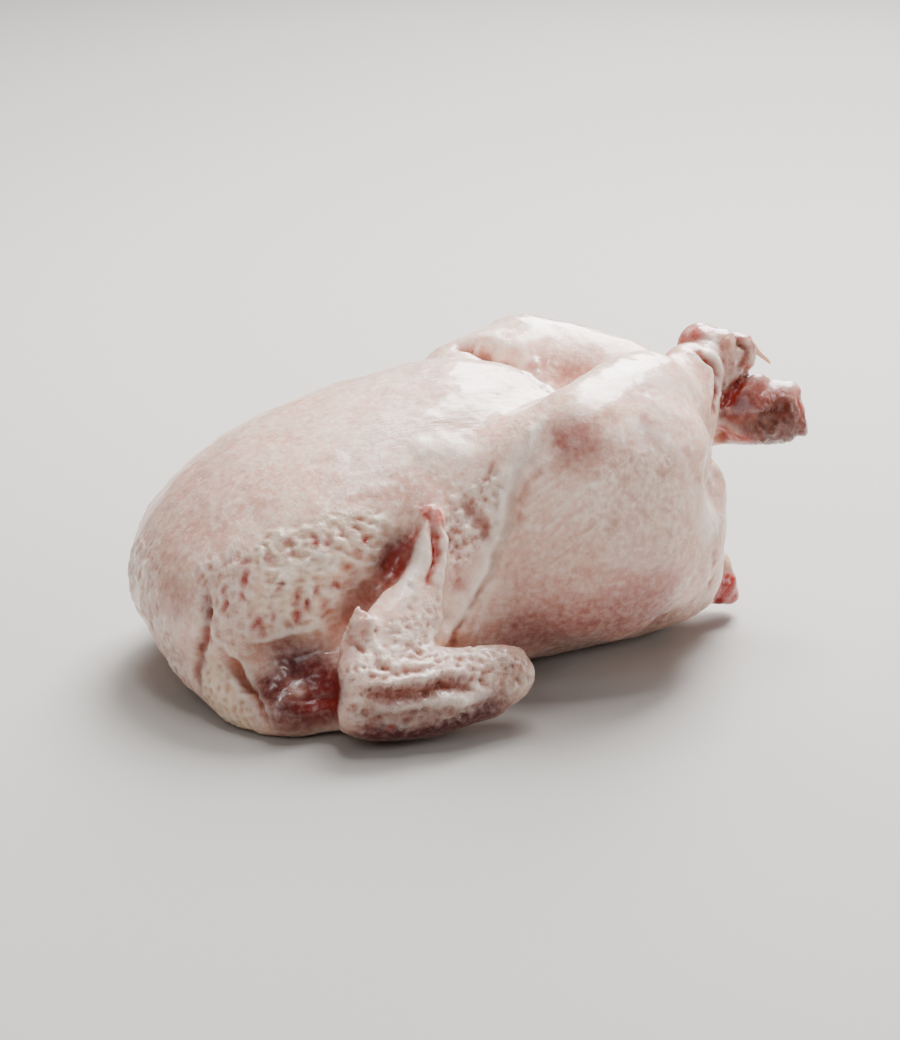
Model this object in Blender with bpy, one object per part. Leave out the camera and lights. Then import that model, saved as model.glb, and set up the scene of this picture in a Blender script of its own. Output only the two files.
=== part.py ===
"""A whole raw chicken, dressed and lying on its back.

The bird is one solid: trunk, breast, thighs, drumsticks with bare hock joints,
folded wings, the neck skin tucked under the breast, and the tail.
+X runs from the neck end to the tail, +Y to the bird's left side, +Z up.
Its right side is at -Y. Sizes are real ones, in millimetres, turned to metres
where each form is made. z = 0 is the surface that it lies on.
"""

import math
from typing import NamedTuple

import bmesh
import bpy
import numpy as np
from mathutils import Vector

MM = 0.001

# Driving sizes of the dressed bird. Its back is pressed this far flat by its own weight.
BREAST_TOP = 111.0
BREAST_HALF_WIDTH = 66.0
NECK_END_X = -94.5
KEEL_TIP_X = 60.5
BELLY_END_X = 134.0
TAIL_TIP_X = 141.0
PRESSED_FLAT = 2.5

# Where the joints lie. The left wing mirrors the right one, and each leg has its own places.
SHOULDER = (-54.5, -63.5, 13.0)
ELBOW = (16.0, -86.0, 21.0)
WRIST = (-37.0, -86.0, 22.0)
WING_TIP = (-1.0, -61.5, 72.0)
RIGHT_HIP = (58.0, -51.0, 48.5)
RIGHT_KNEE = (58.0, -53.5, 90.5)
RIGHT_ANKLE = (119.0, -7.0, 100.5)
RIGHT_HOCK = (131.5, 3.5, 102.5)
LEFT_HIP = (61.5, 49.5, 48.5)
LEFT_KNEE = (74.0, 54.5, 90.0)
LEFT_ANKLE = (126.5, 10.5, 82.5)
LEFT_HOCK = (147.0, -4.5, 82.5)

# How finely the forms are made, how they are fused, and how wide a crease the skin bridges.
RING_POINTS = 28
RINGS_PER_FORM = 26
CAP_RINGS = 5
VOXEL = 2.0
CREASE_BRIDGED = 13.0
SKIN_SMOOTHING_STEPS = 7
MOST_TRIANGLES = 11200

# The slab that cuts its underside flat.
FLOOR_SLAB = 60.0


class Section(NamedTuple):
    """One cross-section of a limb: its centre, and its half sizes sideways and along its lift."""

    centre: tuple
    side: float
    lift: float


class Slice(NamedTuple):
    """One upright slice of the trunk: where it is, how wide, and how high it and its widest part are."""

    x: float
    half_width: float
    top: float
    bottom: float
    widest_z: float


def mirrored(point):
    """The same place on the bird's other side."""
    return (point[0], -point[1], point[2])


def between(start, end, share):
    """The point that share of the way from start to end."""
    return tuple(a + (b - a) * share for a, b in zip(start, end))


def moved(point, dx=0.0, dy=0.0, dz=0.0):
    """The point, shifted."""
    return (point[0] + dx, point[1] + dy, point[2] + dz)


def smooth_rows(rows, count):
    """count rows on a Catmull-Rom curve through the given rows, evenly spread by their first three columns."""
    rows = np.array(rows, float)
    steps = np.linalg.norm(np.diff(rows[:, :3], axis=0), axis=1)
    knots = np.concatenate([[0.0], np.cumsum(steps)])
    padded = np.vstack([2 * rows[0] - rows[1], rows, 2 * rows[-1] - rows[-2]])
    result = []
    for at in np.linspace(0.0, knots[-1], count):
        i = min(int(np.searchsorted(knots, at, side="right")) - 1, len(rows) - 2)
        t = (at - knots[i]) / (knots[i + 1] - knots[i])
        p0, p1, p2, p3 = padded[i : i + 4]
        result.append(
            0.5 * (2 * p1 + (p2 - p0) * t + (2 * p0 - 5 * p1 + 4 * p2 - p3) * t**2
                   + (3 * p1 - p0 - 3 * p2 + p3) * t**3)
        )
    return np.array(result)


def skin_rings(bm, rings):
    """Joins rings of equal length into one closed form, each end drawn to a point."""
    made = [[bm.verts.new(Vector(p) * MM) for p in ring] for ring in rings]
    count = len(made[0])
    for near, far in zip(made, made[1:]):
        for i in range(count):
            j = (i + 1) % count
            bm.faces.new((near[i], near[j], far[j], far[i]))
    for ring, flip in ((made[0], True), (made[-1], False)):
        middle = sum((v.co for v in ring), Vector()) / count
        pole = bm.verts.new(middle)
        for i in range(count):
            j = (i + 1) % count
            corners = (ring[j], ring[i], pole) if flip else (ring[i], ring[j], pole)
            bm.faces.new(corners)


def add_limb(bm, sections, lift=(0.0, 0.0, 1.0), rings=RINGS_PER_FORM, blunt=1.0):
    """Adds a form that follows its sections, such as a muscle, a bone end or a fold of skin.

    Its ends are round, or flatter the smaller blunt is.
    """
    rows = smooth_rows([(*s.centre, s.side, s.lift) for s in sections], rings)
    tangents = np.gradient(rows[:, :3], axis=0)
    start, end = rows[0], rows[-1]
    cap = []
    for k in range(1, CAP_RINGS + 1):
        angle = 0.5 * math.pi * k / (CAP_RINGS + 0.35)
        cap.append((math.sin(angle), math.cos(angle)))

    def capped(row, tangent, outward):
        out = []
        direction = outward * tangent / np.linalg.norm(tangent)
        reach = min(row[3], row[4]) * blunt
        for push, shrink in cap:
            centre = row[:3] + direction * reach * push
            out.append((np.concatenate([centre, row[3:] * shrink]), tangent))
        return out

    placed = list(reversed(capped(start, tangents[0], -1.0)))
    placed += list(zip(rows, tangents))
    placed += capped(end, tangents[-1], 1.0)
    up = np.array(lift, float)
    outlines = []
    for row, tangent in placed:
        forward = tangent / np.linalg.norm(tangent)
        sideways = np.cross(forward, up)
        sideways /= np.linalg.norm(sideways)
        upward = np.cross(sideways, forward)
        turn = np.linspace(0.0, 2 * math.pi, RING_POINTS, endpoint=False)
        outlines.append(
            row[:3]
            + np.outer(np.cos(turn) * row[3], sideways)
            + np.outer(np.sin(turn) * row[4], upward)
        )
    skin_rings(bm, outlines)


def add_ball(bm, centre, radii, tilt=(1.0, 0.0, 0.0)):
    """Adds an ellipsoid whose first radius lies along tilt, its second sideways and its third upward."""
    long_axis = np.array(tilt, float) / np.linalg.norm(tilt)
    reach = radii[0]
    sections = []
    for share in np.linspace(-0.96, 0.96, 11):
        width = math.sqrt(1.0 - share**2)
        place = np.array(centre) + long_axis * reach * share
        sections.append(Section(tuple(place), radii[1] * width, radii[2] * width))
    add_limb(bm, sections)


def add_trunk(bm, slices, roundness=0.92, rings=44):
    """Adds a form of upright slices along X, each wide below or above as its widest height says."""
    rows = smooth_rows([(s.x, 0.0, 0.0, s.half_width, s.top, s.bottom, s.widest_z) for s in slices], rings)
    outlines = []
    turn = np.linspace(0.0, 2 * math.pi, 2 * RING_POINTS, endpoint=False)
    for x, _, _, half_width, top, bottom, widest_z in rows:
        half_width = max(half_width, 1.0)
        sine, cosine = np.sin(turn), np.cos(turn)
        y = -half_width * np.sign(cosine) * np.abs(cosine) ** roundness
        rise = np.where(sine > 0, top - widest_z, widest_z - bottom)
        z = widest_z + rise * np.sign(sine) * np.abs(sine) ** roundness
        outlines.append(np.stack([np.full_like(y, x), y, z], axis=1))
    skin_rings(bm, outlines)


def add_breast(bm):
    """The breast: broad and blunt at the neck end, running up and back to the narrow keel tip."""
    wide, top, low = BREAST_HALF_WIDTH, BREAST_TOP, -PRESSED_FLAT
    add_trunk(
        bm,
        (
            Slice(NECK_END_X, 10.5, 40.5, 30, 35),
            Slice(NECK_END_X + 4.5, wide * 0.46, 51, 19.5, 35),
            Slice(NECK_END_X + 12.5, wide * 0.71, 62.5, 9, 37),
            Slice(NECK_END_X + 27.5, wide * 0.90, top - 33.5, 2, 38.5),
            Slice(NECK_END_X + 49.5, wide, top - 20, -2, 44),
            Slice(NECK_END_X + 75.5, wide * 0.99, top - 10.5, low, 49.5),
            Slice(NECK_END_X + 104, wide * 0.91, top - 3.5, low, 56.5),
            Slice(KEEL_TIP_X - 33.5, wide * 0.76, top, 0, 61.5),
            Slice(KEEL_TIP_X - 16, wide * 0.55, top - 2, 9, 67),
            Slice(KEEL_TIP_X - 4.5, wide * 0.30, top - 5.5, 26.5, 74),
            Slice(KEEL_TIP_X, wide * 0.12, top - 9.5, 53, 84.5),
        ),
    )


def add_back_and_belly(bm):
    """The back that it lies on and the belly behind the keel."""
    low = -PRESSED_FLAT
    add_trunk(
        bm,
        (
            Slice(NECK_END_X + 19.5, 40.5, 35, 3.5, 23),
            Slice(NECK_END_X + 44, 54.5, 53, -2, 30),
            Slice(-9, 58, 61.5, low, 33.5),
            Slice(35, 56.5, 74, low, 37),
            Slice(KEEL_TIP_X, 51, 85.5, low, 38.5),
            Slice(KEEL_TIP_X + 19.5, 44, 81, -2, 37),
            Slice(BELLY_END_X - 30, 38, 74, 0, 35),
            Slice(BELLY_END_X - 16, 31, 62.5, 2.5, 33.5),
            Slice(BELLY_END_X - 6, 23, 51, 7, 31.5),
            Slice(BELLY_END_X - 2, 15, 44, 14, 31.5),
            Slice(BELLY_END_X, 6, 37, 24, 31),
        ),
    )


def add_tail(bm):
    """The fleshy stump of the tail, low under the belly's end."""
    add_limb(
        bm,
        (
            Section((TAIL_TIP_X - 31.5, 0, 15), 19.5, 9.5),
            Section((TAIL_TIP_X - 19.5, 0, 14), 16, 9.5),
            Section((TAIL_TIP_X - 10.5, 0, 14), 12.5, 9),
            Section((TAIL_TIP_X - 5.5, 0, 12.5), 7, 6),
        ),
    )


def add_neck_skin(bm):
    """The loose neck skin, folded down over the neck end and under the right shoulder."""
    front = NECK_END_X
    add_limb(
        bm,
        (
            Section((front + 13, 23, 30), 9, 12.5),
            Section((front + 13, 0, 24.5), 9, 14),
            Section((front + 18.5, -24.5, 16.5), 10.5, 12.5),
            Section((front + 27.5, -46.5, 10.5), 12.5, 11.5),
            Section((front + 33.5, -60.5, 7), 9.5, 9),
        ),
    )


def add_leg(bm, knee, ankle, hip):
    """One leg: the thigh and its skin, then the drumstick with its calf below, narrowing to the ankle."""
    side = math.copysign(1.0, knee[1])
    add_limb(
        bm,
        (
            Section(moved(hip, dx=-40.5), 16, 21),
            Section(moved(hip, dx=-19.5, dy=side * 2.5, dz=3.5), 23, 33.5),
            Section(moved(hip, dx=5.5, dy=side * 3.5, dz=9), 24.5, 40.5),
            Section(moved(hip, dx=26.5, dy=side * -2, dz=6), 24.5, 38),
            Section(moved(hip, dx=38.5, dy=side * -5.5, dz=1), 19.5, 29),
        ),
    )
    add_limb(
        bm,
        (
            Section(moved(hip, dx=-21, dy=side * -1, dz=18.5), 20, 23),
            Section(moved(hip, dx=0, dy=side * 1, dz=22), 24.5, 24.5),
            Section(moved(hip, dx=24.5, dy=side * -6, dz=23), 23, 24),
            Section(moved(hip, dx=42, dy=side * -16, dz=23), 16, 16.5),
        ),
    )
    add_ball(bm, moved(hip, dx=-1, dy=side * -1, dz=17.5), (44, 27.5, 43))
    add_ball(bm, moved(hip, dx=15, dy=side * -2, dz=25), (40, 25.5, 38))
    add_limb(
        bm,
        (
            Section(knee, 23, 23),
            Section(moved(between(knee, ankle, 0.28), dz=-4.5), 24.5, 27.5),
            Section(moved(between(knee, ankle, 0.55), dz=-9), 23, 30),
            Section(moved(between(knee, ankle, 0.74), dz=-11.5), 19.5, 28),
            Section(moved(between(knee, ankle, 0.90), dz=-8), 15, 20),
            Section(ankle, 12.5, 13),
        ),
    )


def add_right_hock(bm):
    """The right leg's bare joint: two rounded knuckles with a hollow between them."""
    along = (Vector(RIGHT_HOCK) - Vector(RIGHT_KNEE)).normalized()
    across = along.cross(Vector((0, 0, 1))).normalized()
    up = across.cross(along)
    hock = Vector(RIGHT_HOCK)
    add_limb(
        bm,
        (
            Section(tuple(hock - along * 16 - up * 2), 9, 9.5),
            Section(tuple(hock - along * 3.5), 9.5, 10.5),
            Section(tuple(hock + along * 6), 10.5, 10.5),
        ),
    )
    add_ball(bm, tuple(hock - across * 5.5 + along * 2 + up * 2), (10.5, 9, 11.5), tuple(along))
    add_ball(bm, tuple(hock + across * 4.5 + along * 8 - up * 1), (9, 7.5, 11), tuple(along))


def add_left_hock(bm):
    """The left leg's stub: thicker, still in its scaly skin, and cut off square."""
    add_limb(
        bm,
        (
            Section(moved(LEFT_HOCK, dx=-16.5, dy=9.5, dz=-2), 10.5, 11.5),
            Section(moved(LEFT_HOCK, dx=-6, dy=3.5, dz=-0.5), 12.5, 13),
            Section(moved(LEFT_HOCK, dx=4.5, dy=-2.5, dz=0.5), 12, 12.5),
            Section(moved(LEFT_HOCK, dx=12.5, dy=-7.5, dz=1.5), 10.5, 12),
        ),
        blunt=0.3,
    )


def add_wing(bm, flip):
    """A folded wing: upper arm back to the elbow, forearm forward to the wrist, hand up along the breast."""
    place = mirrored if flip else tuple
    add_limb(
        bm,
        (
            Section(place(SHOULDER), 16, 14),
            Section(place(between(SHOULDER, ELBOW, 0.5)), 12.5, 13),
            Section(place(moved(ELBOW, dx=-7, dz=-5.5)), 10.5, 10.5),
        ),
    )
    add_limb(
        bm,
        (
            Section(place(moved(ELBOW, dx=2)), 9.5, 11.5),
            Section(place(moved(ELBOW, dx=-12.5, dz=-2.5)), 11.5, 14),
            Section(place(moved(between(ELBOW, WRIST, 0.5), dz=-3.5)), 13, 16.5),
            Section(place(moved(WRIST, dx=9, dz=-2)), 13, 17.5),
            Section(place(WRIST), 11.5, 16.5),
        ),
    )
    add_limb(
        bm,
        (
            Section(place(moved(WRIST, dx=9, dy=2.5, dz=5.5)), 13, 9.5),
            Section(place(moved(WRIST, dx=16.5, dy=7, dz=16)), 13, 8),
            Section(place(moved(WING_TIP, dx=-9.5, dy=-10.5, dz=-23)), 10.5, 6),
            Section(place(moved(WING_TIP, dx=-2.5, dy=-3.5, dz=-8)), 7, 5),
            Section(place(WING_TIP), 4.5, 4),
        ),
        lift=(0.0, -1.0 if not flip else 1.0, 0.4),
    )


def add_flank(bm, flip):
    """The side between the breast and the thigh."""
    place = mirrored if flip else tuple
    add_limb(
        bm,
        (
            Section(place((-26.5, -49.5, 35)), 17.5, 26.5),
            Section(place((7, -51, 38.5)), 18.5, 31.5),
            Section(place((38.5, -49.5, 47.5)), 19.5, 35),
        ),
    )


def add_flank_fold(bm, flip):
    """The fold of skin that crosses the flank from the keel tip down."""
    place = mirrored if flip else tuple
    add_limb(
        bm,
        (
            Section(place((KEEL_TIP_X - 5.5, -10.5, 93.5)), 3.5, 3.5),
            Section(place((40.5, -40.5, 79)), 5.5, 5.5),
            Section(place((21, -61.5, 56.5)), 5.5, 5.5),
            Section(place((5.5, -68.5, 33.5)), 4.5, 4.5),
        ),
        rings=20,
    )


def mesh_of(bm, name):
    """The finished forms as a mesh with its faces pointing out."""
    bmesh.ops.recalc_face_normals(bm, faces=bm.faces)
    mesh = bpy.data.meshes.new(name)
    bm.to_mesh(mesh)
    bm.free()
    return mesh


def bridge_creases(mesh):
    """Fuses the forms and fills the creases between them, as skin drawn over muscles does."""
    muscles = bpy.data.objects.new("muscles", mesh)
    bpy.context.collection.objects.link(muscles)
    for number, swell in enumerate((CREASE_BRIDGED, -CREASE_BRIDGED)):
        fuse = muscles.modifiers.new(f"fuse_{number}", "REMESH")
        fuse.mode = "VOXEL"
        fuse.voxel_size = VOXEL * MM
        offset = muscles.modifiers.new(f"offset_{number}", "DISPLACE")
        offset.direction = "NORMAL"
        offset.mid_level = 0.0
        offset.strength = swell * MM
    graph = bpy.context.evaluated_depsgraph_get()
    bridged = bpy.data.meshes.new_from_object(muscles.evaluated_get(graph))
    bpy.data.objects.remove(muscles)
    return bridged


def chicken_mesh():
    """The fused trunk and legs with the looser forms laid on them, still overlapping, as one mesh."""
    body = bmesh.new()
    add_breast(body)
    add_back_and_belly(body)
    add_leg(body, RIGHT_KNEE, RIGHT_ANKLE, RIGHT_HIP)
    add_leg(body, LEFT_KNEE, LEFT_ANKLE, LEFT_HIP)
    for flip in (False, True):
        add_flank(body, flip)
    skinned = bridge_creases(mesh_of(body, "body"))
    loose = bmesh.new()
    add_tail(loose)
    add_neck_skin(loose)
    add_right_hock(loose)
    add_left_hock(loose)
    for flip in (False, True):
        add_wing(loose, flip)
        add_flank_fold(loose, flip)
    bmesh.ops.recalc_face_normals(loose, faces=loose.faces)
    loose.from_mesh(skinned)
    mesh = bpy.data.meshes.new("whole_chicken")
    loose.to_mesh(mesh)
    loose.free()
    return mesh


def skin_material():
    """Pale pink raw skin, damp but not wet."""
    material = bpy.data.materials.new("raw_chicken_skin")
    material.use_nodes = True
    shader = material.node_tree.nodes["Principled BSDF"]
    shader.inputs["Base Color"].default_value = (0.72, 0.50, 0.43, 1.0)
    shader.inputs["Roughness"].default_value = 0.42
    shader.inputs["Metallic"].default_value = 0.0
    return material


def floor_cutter():
    """A slab whose top face is z = 0, which presses flat what the bird lies on."""
    bm = bmesh.new()
    bmesh.ops.create_cube(bm, size=1.0)
    mesh = bpy.data.meshes.new("floor_cutter")
    bm.to_mesh(mesh)
    bm.free()
    cutter = bpy.data.objects.new("floor_cutter", mesh)
    cutter.scale = (0.8, 0.8, FLOOR_SLAB * MM)
    cutter.location = (0.0, 0.0, -0.5 * FLOOR_SLAB * MM)
    cutter.hide_render = True
    cutter.display_type = "WIRE"
    bpy.context.collection.objects.link(cutter)
    return cutter


def fuse_skin(chicken, cutter):
    """Modifiers that fuse the forms into one skin, soften it, thin its triangles and flatten its underside."""
    fuse = chicken.modifiers.new("fuse_forms", "REMESH")
    fuse.mode = "VOXEL"
    fuse.voxel_size = VOXEL * MM
    soften = chicken.modifiers.new("soften_skin", "SMOOTH")
    soften.factor = 0.5
    soften.iterations = SKIN_SMOOTHING_STEPS
    graph = bpy.context.evaluated_depsgraph_get()
    mesh = chicken.evaluated_get(graph).to_mesh()
    mesh.calc_loop_triangles()
    share = MOST_TRIANGLES / len(mesh.loop_triangles)
    chicken.evaluated_get(graph).to_mesh_clear()
    thin = chicken.modifiers.new("thin_triangles", "DECIMATE")
    thin.ratio = share
    flatten = chicken.modifiers.new("flatten_underside", "BOOLEAN")
    flatten.operation = "DIFFERENCE"
    flatten.solver = "EXACT"
    flatten.object = cutter


def main():
    """Clears the scene and builds the bird."""
    for old in list(bpy.data.objects):
        bpy.data.objects.remove(old)
    chicken = bpy.data.objects.new("whole_chicken", chicken_mesh())
    bpy.context.collection.objects.link(chicken)
    chicken.data.materials.append(skin_material())
    chicken.data.shade_smooth()
    fuse_skin(chicken, floor_cutter())


main()
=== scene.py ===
"""The looks of a whole raw chicken that lies on its back.

The bird is one piece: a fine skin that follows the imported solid. Its folds, feather
follicles, creases and wrinkles are raised in the mesh, and its colours are masks on
the mesh's points that one skin material reads. A thin strip of tendon at the right
hock is a second piece. Sculpting sizes are in millimetres, and a route of two numbers
a point is in pixels of the picture, 900 wide and 1040 high.
"""

import logging
import math
from dataclasses import dataclass
from enum import Enum
from typing import Sequence

import bmesh
import bpy
import numpy as np
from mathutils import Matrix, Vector, noise
from mathutils.bvhtree import BVHTree


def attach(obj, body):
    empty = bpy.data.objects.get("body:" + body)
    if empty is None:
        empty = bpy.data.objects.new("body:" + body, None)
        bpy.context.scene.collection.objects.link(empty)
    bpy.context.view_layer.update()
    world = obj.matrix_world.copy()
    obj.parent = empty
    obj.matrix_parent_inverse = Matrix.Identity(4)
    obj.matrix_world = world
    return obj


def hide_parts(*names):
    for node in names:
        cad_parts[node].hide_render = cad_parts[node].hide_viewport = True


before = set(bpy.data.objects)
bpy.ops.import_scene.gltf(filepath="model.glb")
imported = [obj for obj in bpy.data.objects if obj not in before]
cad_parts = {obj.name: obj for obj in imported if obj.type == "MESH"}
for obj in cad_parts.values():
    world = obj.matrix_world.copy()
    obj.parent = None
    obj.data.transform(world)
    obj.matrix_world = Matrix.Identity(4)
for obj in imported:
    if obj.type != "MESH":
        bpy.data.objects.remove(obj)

LOG = logging.getLogger("whole_chicken")
MM = 0.001
SOLID = "whole_chicken"

# Multiplies the first input by the second and adds the third.
TIMES_PLUS = {"operation": "MULTIPLY_ADD"}

Place = tuple[float, float, float]
Route = tuple[tuple[float, ...], ...]
Patch = tuple[tuple[Route, float], ...]
Colour = bpy.types.NodeSocket | tuple[float, float, float, float]


class Tint(Enum):
    """The masks that the skin carries, each a point attribute of the mesh."""

    CREAM = "cream"
    # A mauve flush, and also painted shade in the hollows and under the wing and thigh.
    FLUSH = "flush"
    # Brown pits and folds, and also painted shade along creases and under the forearm.
    VALLEY_AND_SHADE = "valley_and_shade"
    # Whitish crests, and also painted highlights on the breast band, knee, web and belly.
    RIDGE_AND_HIGHLIGHT = "ridge_and_highlight"
    SCALY = "scaly"
    # Dark red as of blood, and also painted shade in the hollows and under the wing and thigh.
    BRUISE_AND_SHADE = "bruise_and_shade"
    RAW = "raw"
    BUMPY = "bumpy"
    LENGTHWISE = "lengthwise"
    CROSSWISE = "crosswise"
    SLANTWISE = "slantwise"
    WET = "wet"


def srgb(code: str) -> tuple[float, float, float, float]:
    """Turns an sRGB hex colour to linear.

    Args:
        code: the colour as "#RRGGBB".

    Returns:
        Red, green, blue and an alpha of 1, in linear light.
    """
    channels = [int(code[i : i + 2], 16) / 255 for i in (1, 3, 5)]
    linear = [c / 12.92 if c <= 0.04045 else ((c + 0.055) / 1.055) ** 2.4 for c in channels]
    return (linear[0], linear[1], linear[2], 1.0)


def add_node(
    tree: bpy.types.NodeTree, kind: str, settings: dict | None = None, inputs: dict | None = None
) -> bpy.types.Node:
    """Adds one node with its settings, values and links.

    Args:
        tree: the node tree that it goes into.
        kind: the node's type name.
        settings: the node's own properties.
        inputs: a value or an output socket for each input, by name or number.

    Returns:
        The new node.
    """
    node = tree.nodes.new(kind)
    for name, value in (settings or {}).items():
        setattr(node, name, value)
    for name, value in (inputs or {}).items():
        if isinstance(value, bpy.types.NodeSocket):
            tree.links.new(value, node.inputs[name])
        else:
            node.inputs[name].default_value = value
    return node


def smooth_step(value: np.ndarray, low: float, high: float) -> np.ndarray:
    """Rises smoothly from 0 at low to 1 at high."""
    t = np.clip((value - low) / (high - low), 0.0, 1.0)
    return t * t * (3 - 2 * t)


@dataclass(frozen=True)
class Stain:
    """Where a value sets in, where it is full, how much colour it lays then, and which."""

    low: float
    high: float
    most: bpy.types.NodeSocket | float
    colour: str


@dataclass(frozen=True)
class RawSkin:
    """Raw chicken skin, scalded and plucked: thin, damp, half see-through over fat and meat.

    It gives the eye a warm pale ground with rosy and mauve patches a finger wide,
    whitish crests, brown-red pits where feathers sat, and small wet glints.
    """

    pale: str = "#F9D6C2"
    rosy: str = "#E29A86"
    # Mauve also lays painted shade where the flush mask is strong.
    mauve: str = "#A25F55"
    cream: str = "#F0CBA4"
    # This brown also lays painted shade in creases and dips.
    valley_and_shade: str = "#A9522F"
    # This whitish colour also lays painted highlights.
    ridge_and_highlight: str = "#FFF0E2"
    scaly: str = "#4E1E05"
    # This dark red also lays painted shade in hollows and on undersides.
    bruise_and_shade: str = "#4E0D0C"
    raw: str = "#A01506"
    patch_mm: float = 15.0
    blush_mm: float = 40.0
    mottle_mm: float = 3.4
    grain_mm: float = 2.3
    pore_mm: float = 2.2
    crinkle_mm: float = 0.9
    line_mm: float = 1.7
    line_length_mm: float = 11.0
    slant_deg: float = 36.0
    smoothest: float = 0.27
    wet_smoother: float = 0.20
    damp_range: float = 0.26
    flesh_ior: float = 1.42
    see_through: float = 0.20
    see_through_mm: float = 2.4
    see_through_rgb: Place = (1.0, 0.36, 0.22)
    wet_film: float = 0.65
    film_roughness: float = 0.13
    pore_heights: tuple[float, float] = (0.09, 0.20)
    grain_heights: tuple[float, float] = (0.26, -1.30)
    crinkle_heights: tuple[float, float] = (0.12, 0.22)
    line_height: float = 0.36


class SkinPaint:
    """The nodes that put the raw skin's colours, gloss and finest relief on the mesh."""

    def __init__(self, skin: RawSkin) -> None:
        """Makes the material and the values that its parts share.

        Args:
            skin: the finish that it shows.
        """
        self.skin = skin
        self.material = bpy.data.materials.new("raw_chicken_skin")
        self.material.use_nodes = True
        self.tree = self.material.node_tree
        self.place = add_node(self.tree, "ShaderNodeNewGeometry").outputs["Position"]
        self.masks = {}
        for tint in Tint:
            mask = add_node(self.tree, "ShaderNodeAttribute", {"attribute_name": tint.value})
            self.masks[tint] = mask.outputs["Fac"]
        inputs = {"Vector": self.place, "Scale": 1.0 / (skin.grain_mm * MM)}
        inputs |= {"Detail": 4.0, "Roughness": 0.55}
        self.grain = add_node(self.tree, "ShaderNodeTexNoise", None, inputs).outputs["Fac"]
        self.lines = self._fine_lines()

    def finish(self) -> bpy.types.Material:
        """Joins colour, gloss and relief to the shader.

        Returns:
            The finished material.
        """
        shader = self.tree.nodes["Principled BSDF"]
        self.tree.links.new(self._masked(self._lined(self._ground())), shader.inputs["Base Color"])
        self.tree.links.new(self._roughness(), shader.inputs["Roughness"])
        self.tree.links.new(self._relief(), shader.inputs["Normal"])
        shader.inputs["IOR"].default_value = self.skin.flesh_ior
        shader.inputs["Subsurface Weight"].default_value = self.skin.see_through
        shader.inputs["Subsurface Radius"].default_value = self.skin.see_through_rgb
        shader.inputs["Subsurface Scale"].default_value = self.skin.see_through_mm * MM
        shader.inputs["Coat Weight"].default_value = self.skin.wet_film
        shader.inputs["Coat Roughness"].default_value = self.skin.film_roughness
        shader.inputs["Coat IOR"].default_value = self.skin.flesh_ior
        return self.material

    def _lay(self, under: Colour, value: bpy.types.NodeSocket, stain: Stain) -> Colour:
        """Lays a colour over another where a value is high.

        Args:
            under: the colour beneath.
            value: what decides where the colour shows.
            stain: the colour and how it follows the value.

        Returns:
            The colour that results.
        """
        inputs = {"Value": value, "From Min": stain.low, "From Max": stain.high}
        inputs["To Max"] = stain.most
        share = add_node(self.tree, "ShaderNodeMapRange", None, inputs).outputs["Result"]
        inputs = {0: share, 6: under, 7: srgb(stain.colour)}
        return add_node(self.tree, "ShaderNodeMix", {"data_type": "RGBA"}, inputs).outputs[2]

    def _ground(self) -> Colour:
        """The pale skin with its rosy and mauve patches.

        Returns:
            The ground colour.
        """
        skin = self.skin
        layers = (
            (skin.blush_mm * 0.6, Stain(0.45, 0.70, 0.35, skin.cream)),
            (skin.patch_mm, Stain(0.42, 0.66, 0.55, skin.rosy)),
            (skin.blush_mm, Stain(0.50, 0.72, 0.40, skin.mauve)),
            (skin.mottle_mm, Stain(0.46, 0.72, 0.60, skin.rosy)),
            (skin.mottle_mm * 0.7, Stain(0.50, 0.70, 0.75, skin.ridge_and_highlight)),
        )
        colour = srgb(skin.pale)
        for size_mm, stain in layers:
            inputs = {"Vector": self.place, "Scale": 1.0 / (size_mm * MM)}
            inputs |= {"Detail": 4.0, "Roughness": 0.55}
            patches = add_node(self.tree, "ShaderNodeTexNoise", None, inputs).outputs["Fac"]
            colour = self._lay(colour, patches, stain)
        return colour

    def _fine_lines(self) -> bpy.types.NodeSocket:
        """Fine broken lines in tight skin, drawn along the body, across it or aslant by masks.

        Returns:
            A value about 0 that rises and falls over the lines.
        """
        tree = self.tree
        short = 1.0 / (self.skin.line_mm * MM)
        long = 1.0 / (self.skin.line_length_mm * MM)
        total: bpy.types.NodeSocket | float = 0.0
        for tint, turn_deg, scale in (
            (Tint.LENGTHWISE, 0.0, (long, short, short)),
            (Tint.CROSSWISE, 0.0, (short, long, long)),
            (Tint.SLANTWISE, self.skin.slant_deg, (long, short, short)),
        ):
            inputs = {"Vector": self.place, "Angle": math.radians(turn_deg)}
            turned = add_node(tree, "ShaderNodeVectorRotate", {"rotation_type": "Y_AXIS"}, inputs)
            inputs = {0: turned.outputs[0], 1: scale}
            stretched = add_node(tree, "ShaderNodeVectorMath", {"operation": "MULTIPLY"}, inputs)
            inputs = {"Vector": stretched.outputs[0], "Scale": 1.0}
            inputs |= {"Detail": 3.0, "Distortion": 0.5}
            drawn = add_node(tree, "ShaderNodeTexNoise", None, inputs).outputs["Fac"]
            inputs = {0: drawn, 1: 2.0, 2: -1.0}
            centred = add_node(tree, "ShaderNodeMath", TIMES_PLUS, inputs).outputs[0]
            inputs = {0: centred, 1: self.masks[tint], 2: total}
            total = add_node(tree, "ShaderNodeMath", TIMES_PLUS, inputs).outputs[0]
        return total

    def _lined(self, colour: Colour) -> Colour:
        """Pales the crests of the fine lines and reddens their dips.

        Args:
            colour: the colour beneath.

        Returns:
            The colour that results.
        """
        colour = self._lay(colour, self.lines, Stain(0.05, 0.45, 0.65, self.skin.ridge_and_highlight))
        return self._lay(colour, self.lines, Stain(-0.05, -0.45, 0.60, self.skin.rosy))

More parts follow.
